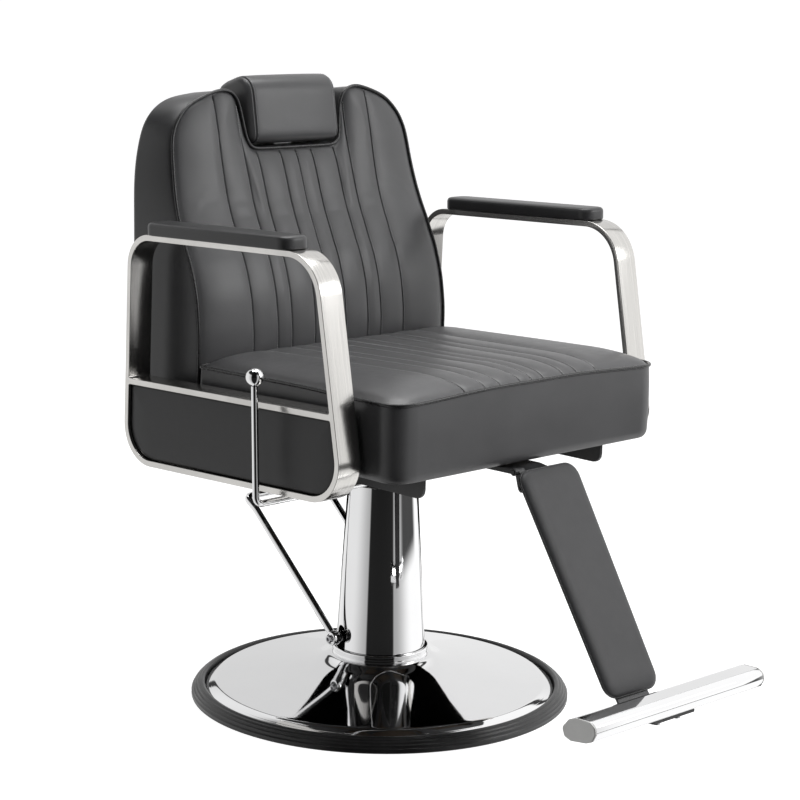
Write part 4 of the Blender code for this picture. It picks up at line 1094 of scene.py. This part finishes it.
def roll_over(distance, reach, power):
    """0 at the edge, rising fast and levelling out at reach."""
    return (1 - (1 - np.clip(distance / reach, 0, 1)) ** 2.2) ** power


def seat_top(plan):
    """Height of the padded top before inflation."""
    x, y = plan[..., 0], plan[..., 1]
    part = seat_part(y)
    side = FRONT_HALF + (REAR_HALF - FRONT_HALF) * part
    roll = (roll_over(y - SEAT_FRONT, reach=0.105, power=0.60)
            * roll_over(side - np.abs(x), reach=0.085, power=0.55)
            * roll_over(SEAT_REAR - y, reach=0.045, power=0.6))
    rise = np.clip(1 - np.exp(-(edge_distance(plan, SEAT_LOOP) - 0.0026) / 0.005), 0, 1)
    crown = 0.0215 - 0.0020 * part
    return edge_height(y) - 0.0006 + sag(x, y) * (1 - 0.9 * roll) + crown * roll * rise


def seat_ring(rim, normals, part):
    """Ring of the side band: slightly bulged, tucked under at the bottom."""
    bulge = 0.0016 * math.sin(math.pi * min(1.0, part * 1.05))
    tuck = 0.0
    if part > 0.88:
        turn = (part - 0.88) / 0.12
        tuck = 0.0105 * (1 - math.sqrt(max(0.0, 1 - turn * turn)))
    return np.column_stack([rim[:, :2] + normals * (bulge - tuck),
                            rim[:, 2] + (SEAT_BOTTOM - rim[:, 2]) * part])


def build_seat(columns, rows, puff, grooved):
    plan = np.array([[(seat_x(column, y), y) for y in rows] for column in columns])
    front, normals = dress(np.dstack([plan, seat_top(plan)]), plan, columns, rows,
                           SEAT_WIDTHS, puff, grooved, fade=0.006, edge=seat_edge)
    rim = rim_of(front)
    rim_normals = outward(rim[:, :2])
    rings = [seat_ring(rim, rim_normals, part) for part in SEAT_RINGS]
    # the underside is the same grid drawn in
    under = np.dstack([plan * np.array((0.962, 0.95)) + np.array((0, -0.0048)),
                       np.full(plan.shape[:2], SEAT_BOTTOM - 0.0002)])
    return front, under, rings, normals


seat_rim = add_cushion("seat", "seat", SEAT_LEATHER, build_seat, SEAT_WIDTHS, outer_steps=9,
                       coarse_rows=seat_rows(50), fine_rows=seat_rows(120), swell=0.0048)
add_piping("seat_piping", "seat", seat_rim, normal=(0, 0, 1), out=0.0006, lift=0.0012,
           radius=0.0027)

# ---------------------------------------------------------------- back cushion
# side view of the front face, as (z, y)
FACE = spline([(.4520, .1380), (.5000, .1340), (.5380, .1325), (.5780, .1320), (.6080, .1345),
               (.6380, .1390), (.6650, .1465), (.6880, .1550), (.7060, .1640), (.7280, .1740),
               (.7540, .1860), (.7840, .1970), (.8210, .2066), (.8580, .2140), (.8900, .2200),
               (.9200, .2240), (.9440, .2250)], 8)
BACK_SEAMS = np.array([0, 0.0330, 0.0810, 0.1100, 0.1600, 0.2560])
BACK_WIDTHS = column_widths(BACK_SEAMS)
# +X half of the front outline as (x, z): along the bottom to the low corner, up the side
# to the high corner, then along the top and down to the dip in its middle
LOW_CORNER, HIGH_CORNER = (0.2600, 0.4620), (0.2360, 0.8930)
BACK_BOTTOM = [(0.0000, 0.4425), (0.1200, 0.4425), (0.2100, 0.4425), (0.2400, 0.4440),
               (0.2530, 0.4500), LOW_CORNER]
BACK_SIDE = [LOW_CORNER, (0.2610, 0.5000), (0.2610, 0.5780), (0.2590, 0.6600),
             (0.2580, 0.7200), (0.2560, 0.7540), (0.2536, 0.7840), (0.2500, 0.8210),
             (0.2466, 0.8580), (0.2430, 0.8760), HIGH_CORNER]
BACK_TOP = [HIGH_CORNER, (0.2260, 0.9060), (0.2110, 0.9200), (0.1930, 0.9300),
            (0.1670, 0.9390), (0.1480, 0.9435), (0.1390, 0.9440), (0.1280, 0.9425),
            (0.1170, 0.9370), (0.1090, 0.9260), (0.1045, 0.9100), (0.1010, 0.8880),
            (0.0980, 0.8700), (0.0930, 0.8590), (0.0860, 0.8540), (0.0780, 0.8525),
            (0.0500, 0.8520), (0.0000, 0.8520)]
bottom_curve = spline(BACK_BOTTOM, 6)
side_curve = spline(BACK_SIDE, 8)
top_curve = spline(BACK_TOP[::-1], 8)
half_loop = [*bottom_curve, *side_curve[1:], *top_curve[::-1][1:]]
BACK_LOOP = half_loop + [(-x, z) for x, z in half_loop[::-1][1:-1]]

BACK_Y = 0.2850                    # rear of the boxing
BACK_ROLL = 0.0080                 # radius of its rear edge
BACK_RINGS = (0.03, 0.07, 0.14, 0.24, 0.36, 0.50, 0.64, 0.78, 0.90, 0.97, 1.0)
# rear outline: side as z -> x, corner as front x -> rear x, top as x -> z
REAR_HIGH_Z = 0.8950
REAR_SIDE = ((0.462, 0.50, 0.65, 0.80, 0.831, 0.854, REAR_HIGH_Z),
             (0.2680, 0.2718, 0.2722, 0.2722, 0.2700, 0.2660, 0.2550))
REAR_CORNER = ((0.108, 0.139, 0.167, 0.193, 0.211, 0.226, 0.236),
               (0.108, 0.140, 0.168, 0.198, 0.222, 0.242, 0.2550))
REAR_TOP = ((0.108, 0.158, 0.208, 0.237, 0.2550),
            (0.9380, 0.9390, 0.9330, 0.9170, REAR_HIGH_Z))


def back_edge(plan):
    x, z = plan[..., 0], plan[..., 1]
    return np.stack([x, np.interp(z, FACE[:, 0], FACE[:, 1]) + 0.0040, z], -1)


def blend(start, end, part):
    return start * (1 - part) + end * part


def spread(columns, rows, bottom, top, left, right):
    """Grid of (x, z) from its edges, left being -X.

    Columns are straight out to the last seams; a Coons patch fills the outer strips.
    """
    part = rows[:, None]
    grid = np.array([blend(start, end, part) for start, end in zip(bottom, top)])
    for i, column in enumerate(columns):
        out = abs(column) - LAST_SEAM
        if out <= 0:
            continue
        seam = grid[int(np.argmin(np.abs(columns - math.copysign(LAST_SEAM, column))))]
        side = left if column < 0 else right
        corners = blend(blend(seam[0], seam[-1], part), blend(side[0], side[-1], part), out)
        grid[i] = blend(seam, side, out) + blend(bottom[i], top[i], part) - corners
    return grid


def back_plan(columns, rows):
    """(x, z) of each column and row of the front."""
    def edge(corner, curve):
        x = np.interp(np.abs(columns), range(SIDE_EDGE + 1),
                      [*BACK_SEAMS[:SIDE_EDGE], corner[0]])
        return np.stack([np.sign(columns) * x, np.interp(x, curve[:, 0], curve[:, 1])], 1)

    z = LOW_CORNER[1] + (HIGH_CORNER[1] - LOW_CORNER[1]) * rows
    right = np.stack([np.interp(z, side_curve[:, 1], side_curve[:, 0]), z], 1)
    return spread(columns, rows, edge(LOW_CORNER, bottom_curve), edge(HIGH_CORNER, top_curve),
                  right * (-1, 1), right)


def rear_point(x, z):
    """Where the front outline point (x, z) lands on the rear edge of the boxing."""
    reach = abs(x)
    sign = 1 if x >= 0 else -1
    if z < LOW_CORNER[1] and reach < 0.262:
        rise = 0.0 if reach < 0.24 else (z - 0.4425) * 0.6
        return sign * 0.2640 * (reach / LOW_CORNER[0]), 0.4460 + rise
    if reach > 0.235:
        part = np.clip((z - LOW_CORNER[1]) / (HIGH_CORNER[1] - LOW_CORNER[1]), 0, 1)
        rear_z = LOW_CORNER[1] + part * (REAR_HIGH_Z - LOW_CORNER[1])
        return sign * np.interp(rear_z, *REAR_SIDE), rear_z
    if reach > 0.108 and z > 0.87:
        rear_x = np.interp(reach, *REAR_CORNER)
        rear_z = np.interp(rear_x, *REAR_TOP)
        part = np.clip((reach - 0.108) / 0.02, 0, 1)
        return sign * rear_x, part * rear_z + (1 - part) * min(rear_z, z)
    return x, z + 0.0042 * np.clip((0.094 - reach) / 0.012, 0, 1)


def ease_corners(rear):
    """Rounds the rear outline where the sides turn into the top."""
    count = 1400
    run = run_lengths(close_loop(rear))
    even = respaced(rear, count=count)
    soft = smooth_loop(even, 240)
    weight = (np.clip((np.abs(even[:, 0]) - 0.150) / 0.03, 0, 1)
              * np.clip((even[:, 1] - 0.76) / 0.05, 0, 1))[:, None]
    even_run = np.linspace(0, run[-1], count + 1)
    return path_at(run[:-1], even_run, close_loop(blend(even, soft, weight)))


def back_boxing(rim):
    """Rings from the front rim to the rear face."""
    front_xz, front_y = rim[:, [0, 2]], rim[:, 1]
    rear = ease_corners(np.array([rear_point(x, z) for x, z in front_xz]))
    normals, rear_normals = outward(front_xz), outward(rear)
    rings = []
    for part in BACK_RINGS:
        # flares fast, then runs nearly straight back
        flat = blend(front_xz, rear, part ** 0.62)
        flat = flat + normals * 0.0010 * math.sin(math.pi * part)
        y = front_y + (BACK_Y - BACK_ROLL - front_y) * part
        rings.append(np.stack([flat[:, 0], y, flat[:, 1]], 1))
    for degrees in (22, 45, 68, 90):
        angle = math.radians(degrees)
        flat = rear - rear_normals * BACK_ROLL * (1 - math.cos(angle))
        y = np.full(len(rim), BACK_Y - BACK_ROLL + BACK_ROLL * math.sin(angle))
        rings.append(np.stack([flat[:, 0], y, flat[:, 1]], 1))
    return rings


def build_back(columns, rows, puff, grooved):
    plan = back_plan(columns, rows)
    front = back_edge(plan)
    inward = np.clip((edge_distance(plan, BACK_LOOP) - 0.0030) / 0.085, 0, 1)
    front[..., 1] -= 0.0125 * (1 - (1 - inward) ** 2.4) ** 0.58
    front, normals = dress(front, plan, columns, rows, BACK_WIDTHS, puff, grooved,
                           fade=0.012, edge=back_edge)
    rings = back_boxing(rim_of(front))
    # the rear face is spread inside the last ring and drawn in a little
    border = np.zeros_like(plan)
    border.reshape(-1, 2)[border_index(*plan.shape[:2])] = rings[-1][:, [0, 2]]
    flat = spread(columns, rows, border[:, 0], border[:, -1], border[0], border[-1])
    centre = np.array((0.0, 0.66))
    flat = (flat - centre) * 0.997 + centre
    rear = np.dstack([flat[..., 0], np.full(plan.shape[:2], BACK_Y + 0.0004), flat[..., 1]])
    return front, rear, rings, normals


back_rim = add_cushion("back", "backrest", BACK_LEATHER, build_back, BACK_WIDTHS,
                       outer_steps=8, coarse_rows=eased_rows(56, even=0.55),
                       fine_rows=eased_rows(150, even=0.55), swell=0.0036)
add_piping("back_piping", "backrest", back_rim, normal=(0, 1, 0), out=0.0004, lift=-0.0014,
           radius=0.0026)

# upholstered rear panel with a rolled edge: corners (x, z, radius), levels (inset, y)
REAR_PANEL = ((-0.2264, 0.4626, 0.030), (0.2264, 0.4626, 0.030),
              (0.2264, 0.8299, 0.030), (-0.2264, 0.8299, 0.030))
REAR_PANEL_LEVELS = [(0.0060, 0.2843), (0.0, 0.2852), (0.0, 0.2862), (0.0008, 0.2872),
                     (0.0025, 0.2881), (0.0060, 0.2888), (0.0140, 0.2893), (0.0300, 0.2898),
                     (0.0600, 0.2902)]
rear_panel = pillow(REAR_PANEL, REAR_PANEL_LEVELS, lambda x, z, y: (x, y, z), 10)
give(piece("back_rear_panel", rear_panel, BACK_LEATHER, 60),
     "backrest", "leatherette", "back_cover")

# ---------------------------------------------------------------- headrest
HEAD_HALF = 0.0935
# section as (y, z, radius)
HEAD_SECTION = ((.2050, .8590, .012), (.2960, .8570, .014), (.3045, .9480, .020),
                (.2230, .9750, .028))
# stations near each end, as parts of the half width
HEAD_STATIONS = [0.85, 0.862, 0.874, 0.884, 0.892, 0.899, 0.905, 0.911, 0.918, 0.928, 0.940,
                 0.953, 0.966, 0.978, 0.988, 0.995, 0.999, 1.0]
HEAD_SEAM, HEAD_STITCH = 0.905, 0.880
# pocket for the post, as (x, y, radius)
POST_POCKET = ((-.0190, .2442, .0006), (.0190, .2442, .0006),
               (.0190, .2518, .0006), (-.0190, .2518, .0006))

section = smooth_loop(respaced(np.array(rounded(HEAD_SECTION, 12)), count=120), 14)
section_normals = outward(section)
facing_front = np.clip(-section_normals[:, 0], 0, 1) ** 1.5


def headrest_ring(x, extra):
    """Section at x: puffed in the middle, most at the front, and rounded to the ends."""
    reach = abs(x) / HEAD_HALF
    pull = -0.0120 * (1 - math.sqrt(max(0.0, 1 - max(0.0, (reach - 0.84) / 0.16) ** 2)))
    puff = 0.0046 * (1 - min(1.0, reach / 0.96) ** 3.2)
    offset = pull + extra + puff * (0.25 + 0.75 * facing_front) - 0.0012
    return np.column_stack([np.full(len(section), x),
                            section + section_normals * offset[:, None]])


def end_rings(base, sign):
    """Rings of a domed end panel, from the edge inward."""
    centre = base.mean(0)
    rings = []
    for part in (0.90, 0.72, 0.45, 0.18):
        ring = centre + (base - centre) * part
        ring[:, 0] = sign * (HEAD_HALF + 0.0026 * (1 - part ** 2))
        rings.append(ring)
    return rings


rings = []
for x in np.concatenate([[-part for part in HEAD_STATIONS[::-1]], np.linspace(-0.82, 0.82, 30),
                         HEAD_STATIONS]) * HEAD_HALF:
    seam = -0.0015 * math.exp(-((abs(x) - HEAD_SEAM * HEAD_HALF) / 0.0010) ** 2)
    rings.append(headrest_ring(x, seam))
rings = end_rings(rings[0], -1)[::-1] + rings + end_rings(rings[-1], 1)
headrest = piece("headrest_soft", loft(rings), HEAD_LEATHER, 75)
pocket = loft([[(x, y, z) for x, y in rounded(POST_POCKET, 2)] for z in (.83, .9050)])
cut(headrest, [piece("post_pocket", pocket, HEAD_LEATHER)], angle=60)
give(headrest, "headrest", "leatherette", "headrest_cushion")
stitch_normals = close_loop(np.column_stack([np.zeros(len(section)), section_normals]))
lines = [close_loop(headrest_ring(sign * HEAD_STITCH * HEAD_HALF, extra=0.0002))
         for sign in (-1, 1)]
give(piece("headrest_stitches", stitches(lines, [stitch_normals] * 2), THREAD, 30,
           recalc=False),
     "headrest", "leatherette")

# ================================================================ leg rest
LEG_TOP = Vector((0, -0.3478, 0.4296))           # middle of the pad's top edge
LEG_DOWN = Vector((0, -0.5251, -0.8510))         # down the pad
LEG_NORMAL = Vector((0, 0.8510, -0.5251))        # towards the rear of the pad
LEG_THICK, LEG_LENGTH = 0.0115, 0.350
LEG_PLAN = ((-0.0620, 0.0, 0.022), (0.0620, 0.0, 0.022),
            (0.0555, LEG_LENGTH, 0.022), (-0.0555, LEG_LENGTH, 0.022))
# (inset, height above the pad's rear face)
LEG_LEVELS = [(0.0030, 0.0), (0.0008, 0.0), (0.0, 0.0010), (0.0, 0.0034), (0.0004, 0.0048),
              (0.0014, 0.0064), (0.0030, 0.0079), (0.0055, 0.0092), (0.0090, 0.0102),
              (0.0135, 0.0110), (0.0190, 0.0115), (0.0260, 0.0118), (0.0350, 0.0119)]


def leg_place(x, down, height):
    point = LEG_TOP + LEG_DOWN * down - LEG_NORMAL * (-LEG_THICK + height)
    return x, point.y, point.z


give(piece("legrest_pad_soft", pillow(LEG_PLAN, LEG_LEVELS, leg_place, 12), LEG_LEATHER, 60),
     "legrest", "leatherette", "legrest_pad")
trim = np.array([leg_place(x, down, 0.0036) for x, down in rounded(LEG_PLAN, 12)])
trim = smooth_loop(respaced(trim, step=0.003), 1)
give(piece("legrest_edge_trim", sweep(trim, 0.0013, 8, loop_normal=tuple(LEG_NORMAL)),
           PIPING, 60),
     "legrest", "leatherette")

# ---------------------------------------------------------------- foot bar
# hollow section as (y, z, radius)
BAR = ((-0.5540, .1265, .007), (-.5655, .1400, .007), (-.5780, .1448, .004),
       (-.6030, .1455, .004), (-.6125, .1400, .006), (-.6150, .1300, .006),
       (-.6090, .1185, .006), (-.5980, .1140, .006), (-.5700, .1105, .006),
       (-.5585, .1145, .006))
BAR_HALF, BAR_WALL = 0.1830, 0.0020
CAP_HALF_THICK, CAP_GAP = 0.0013, 0.0003
CAP_LEVELS = [(0.0004, -0.0013), (0.0, -0.0009), (0.0, 0.0004), (0.0003, 0.0009),
              (0.0009, 0.0013), (0.0022, 0.0014), (0.0040, 0.0011), (0.0060, 0.0011)]
HOLE_X, HOLE_Y, HOLE_RADIUS = 0.0220, -0.5850, 0.0034


def bar_ring(distance, x):
    return [(x, y, z) for y, z in rounded(inset(BAR, distance), 8)]


# (inset, x) of the outer skin's +X half, then of the bore from +X to -X
outer_half = [(0, 0.06), (0, 0.12), (0.0, BAR_HALF - 0.0009), (0.0002, BAR_HALF - 0.0003),
              (0.0007, BAR_HALF)]
stations = [(distance, -x) for distance, x in outer_half[::-1]] + [(0, 0)] + outer_half
stations += [(BAR_WALL, x)
             for x in (BAR_HALF, BAR_HALF - 0.001, 0.0, -BAR_HALF + 0.001, -BAR_HALF)]
bar = piece("foot_bar_tube", loft([bar_ring(*station) for station in stations], closed=True),
            CHROME, 40)
holes = [piece("bar_hole", loft([circle(sign * HOLE_X, HOLE_Y, z, HOLE_RADIUS, 24)
                                 for z in (0.100, 0.125)]), CHROME)
         for sign in (-1, 1)]
cut(bar, holes, angle=40)
give(bar, "legrest", "chrome", "footbar")
for side, sign in SIDES:
    def cap_place(y, z, height):
        return sign * (BAR_HALF + CAP_HALF_THICK + CAP_GAP) + sign * height, y, z

    give(piece("foot_bar_end_" + side, pillow(BAR, CAP_LEVELS, cap_place, 8), CAP_PLASTIC, 50),
         "legrest", "cap", "footbar_cap_" + side)

# ================================================================ recline handle
# An L-shaped rod: up the sitter's right side, and across below the seat.
HANDLE_X, HANDLE_Y = -0.360, -0.1110
ROD_Y, ROD_Z = -0.1156, 0.3830                   # the run across
KNOB_Z, KNOB_RADIUS = 0.5670, 0.0130
handle_path = arc_path(((HANDLE_X, HANDLE_Y, 0.5539), (HANDLE_X, ROD_Y, ROD_Z),
                        (0.1970, ROD_Y, ROD_Z)), (0.0120,), 14)
give(piece("recline_rod", sweep(handle_path, 0.0050, 24), CHROME, 40),
     "recline_handle", "chrome", "recline_lever")
# (radius, height from the centre): the neck, then the ball from 62 degrees below
knob_profile = [(0.0046, -0.0129)]
for k in range(24):
    angle = math.radians(-62 + 152 * k / 24)
    knob_profile.append((KNOB_RADIUS * math.cos(angle), KNOB_RADIUS * math.sin(angle)))
knob = loft([circle(HANDLE_X, HANDLE_Y, KNOB_Z + z, radius, 48) for radius, z in knob_profile])
give(piece("ball_knob", knob, CHROME, 60), "recline_handle", "chrome", "lever_knob")


# ================================================================ stage
def azimuth(graph, parts):
    return graph.degrees("ARCTAN2", parts.outputs["Y"], parts.outputs["X"])


def room(graph, direction):
    """What polished metal sees along a direction: a bright tent with a dark opening
    round the camera and two thin dark joints in the cloth. Angles are in degrees,
    azimuths from the camera's."""
    parts = graph.node("SeparateXYZ", Vector=direction)
    turned = graph.math("SUBTRACT", azimuth(graph, parts), CAMERA_AZIMUTH)
    wrapped = graph.math("FLOORED_MODULO", graph.math("ADD", turned, 180.0), 360.0)
    around = graph.math("SUBTRACT", wrapped, 180.0)
    above = graph.degrees("ARCSINE", parts.outputs["Z"])
    # walls: one flank, the camera side, and the two ends behind the chair
    glow = graph.mix(graph.band(around, -150, 0, soft=60), 1.14, 0.86)
    glow = graph.mix(graph.band(around, -58, 64, soft=56), glow, 0.42)
    glow = graph.mix(graph.step(around, 150, soft=20), glow, 0.90)
    glow = graph.mix(graph.step(around, -150, soft=20, rising=False), glow, 0.76)
    # dark patch high on the camera side, and the dark zenith
    patch = graph.math("MULTIPLY", graph.band(around, -125, 68, soft=12),
                       graph.band(above, 32, 70, soft=10))
    glow = graph.mix(patch, glow, 0.02)
    glow = graph.mix(graph.band(above, 66, 120, soft=8), glow, 0.015)
    # opening round the camera, and the joints
    glow = graph.mix(graph.band(around, -37, 34, soft=5), glow, 0.006)
    for start, end in ((-158, -154), (144, 148)):
        glow = graph.mix(graph.band(around, start, end, soft=1.5), glow, 0.05)
    return glow


def floor_paper():
    """Pale to the camera, nearly black to light, and the room below for reflections."""
    paper = Material("floor_paper")
    paper.set(Roughness=0.9, Specular_IOR_Level=0.1)
    paper.use_object_space()
    grain = paper.noise(scale=40)
    rays = paper.node("LightPath").outputs
    seen = paper.mix(grain, 0.30, 0.32)
    unseen = paper.mix(rays["Is Glossy Ray"], 0.05, 0.003)
    paper.set(Base_Color=paper.mix(rays["Is Camera Ray"], unseen, seen))
    incoming = paper.node("NewGeometry").outputs["Incoming"]
    flipped = paper.node("VectorMath", operation="SCALE", Scale=-1.0)
    paper.feed(flipped.inputs[0], incoming)
    direction = flipped.outputs[0]
    # a patch of floor away from the chair is dark in reflections
    bearing = azimuth(paper, paper.node("SeparateXYZ", Vector=direction))
    length = paper.node("VectorMath", operation="LENGTH")
    paper.feed(length.inputs[0], paper.place)
    far = paper.math("MULTIPLY",
                     paper.band(length.outputs["Value"], 1.35, 3.7, soft=0.4),
                     paper.band(bearing, -75, -20, soft=16))
    mirrored_glow = paper.mix(far, room(paper, direction), 0.045)
    glow = paper.mix(rays["Is Glossy Ray"], 0.02, mirrored_glow)
    paper.set(Emission_Color=paper.mix(rays["Is Camera Ray"], glow, 0.97),
              Emission_Strength=1.0)
    return paper.material


def painted_dark_reflection_card():
    # black sheet seen only in reflections, as painted dark reflection
    card = Material("painted_dark_reflection")
    noise = card.node("TexNoise", Scale=30).outputs["Fac"]
    card.set(Roughness=card.remap(noise, 0.0, 1.0, low=0.85, high=1.0),
             Base_Color=(0.002, 0.002, 0.002, 1), Specular_IOR_Level=0.0)
    return card.material


FLOOR_HALF = 60
corners = [(x * FLOOR_HALF, y * FLOOR_HALF, 0) for x, y in ((-1, -1), (1, -1), (1, 1), (-1, 1))]
floor = piece("floor", (corners, [(0, 1, 2, 3)]), floor_paper(), recalc=False)
floor.location.z = -0.0004
floor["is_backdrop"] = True

# black card stood behind the column as the camera sees it, visible only to reflections: a
# painted dark reflection in the chrome that stands in for the shaded underside of the seat
CARD_BEHIND = 0.14
CARD = ((0.095, 0.060), (0.12, 0.088), (0.20, 0.127), (0.24, 0.150), (0.30, 0.198),
        (0.34, 0.222), (0.372, 0.238))           # (z, half width)
toward_x = math.cos(math.radians(CAMERA_AZIMUTH))
toward_y = math.sin(math.radians(CAMERA_AZIMUTH))
card_points = [(-toward_x * CARD_BEHIND - toward_y * sign * half,
                -toward_y * CARD_BEHIND + toward_x * sign * half, z)
               for z, half in CARD for sign in (-1, 1)]
card_faces = [(k, k + 1, k + 3, k + 2) for k in range(0, 2 * len(CARD) - 2, 2)]
card = piece("painted_dark_reflection", (card_points, card_faces), painted_dark_reflection_card(), recalc=False)
card.visible_camera = False
card.visible_diffuse = False
card.visible_shadow = False
card.visible_transmission = False
card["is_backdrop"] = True

# ---------------------------------------------------------------- world and lights
world = bpy.data.worlds.new("studio")
scene.world = world
world.use_nodes = True
sky = Graph(world.node_tree)
direction = sky.node("TexCoord").outputs["Generated"]
rays = sky.node("LightPath").outputs
colour = sky.mix(rays["Is Glossy Ray"], (0.15, 0.15, 0.155), room(sky, direction))
colour = sky.mix(rays["Is Camera Ray"], colour, 1.0)
sky.fill(world.node_tree.nodes["Background"], Color=colour, Strength=1.0)


def softbox(name, at, aim, size, watts, reflected=False):
    light = bpy.data.lights.new(name, "AREA")
    light.shape = "RECTANGLE"
    light.size, light.size_y = size
    light.energy = watts
    lamp = bpy.data.objects.new(name, light)
    lamp.location = at
    lamp.rotation_euler = (Vector(aim) - Vector(at)).to_track_quat("-Z", "Y").to_euler()
    scene.collection.objects.link(lamp)
    lamp.visible_glossy = reflected


softbox("key", at=(1.4, -2.9, 2.3), aim=(0.0, -0.1, 0.6), size=(1.6, 1.6), watts=158)
softbox("sheen", at=(2.0, -2.6, 1.90), aim=(0.0, 0.1, 0.75), size=(1.4, 1.1), watts=17,
        reflected=True)
softbox("top", at=(0.2, 0.2, 3.4), aim=(0.0, 0.0, 0.4), size=(2.4, 2.0), watts=80,
        reflected=True)
softbox("fill", at=(-3.2, -0.9, 1.2), aim=(0.0, 0.0, 0.5), size=(1.4, 1.6), watts=8)

scene.view_settings.view_transform = "Standard"
scene.view_settings.look = "None"
scene.view_settings.exposure = 0.0
scene.view_settings.gamma = 1.0


# ---------------------------------------------------------------- camera
def add_camera(turn, height, roll, lens):
    """Camera turned about Z, raised to look down by height, and rolled; in degrees."""
    turn, height, roll = map(math.radians, (turn, height, roll))
    back = Vector((math.sin(turn) * math.cos(height), -math.cos(turn) * math.cos(height),
                   math.sin(height)))
    level = Vector((math.cos(turn), math.sin(turn), 0))
    upright = level.cross(-back).normalized()
    right = level * math.cos(roll) + upright * math.sin(roll)
    top = upright * math.cos(roll) - level * math.sin(roll)
    data = bpy.data.cameras.new("camera")
    data.sensor_width = 36
    data.lens = lens
    camera = bpy.data.objects.new("camera", data)
    scene.collection.objects.link(camera)
    matrix = Matrix((right, top, back)).transposed().to_4x4()
    matrix.translation = CAMERA_AT
    camera.matrix_world = matrix
    scene.camera = camera


add_camera(turn=-44.1407, height=10.9212, roll=1.0139, lens=103.6611)

low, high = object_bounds()
({"cad": [list(map(float, CAD_BOX[0])), list(map(float, CAD_BOX[1]))],
           "visual": [list(map(float, low)), list(map(float, high))]})
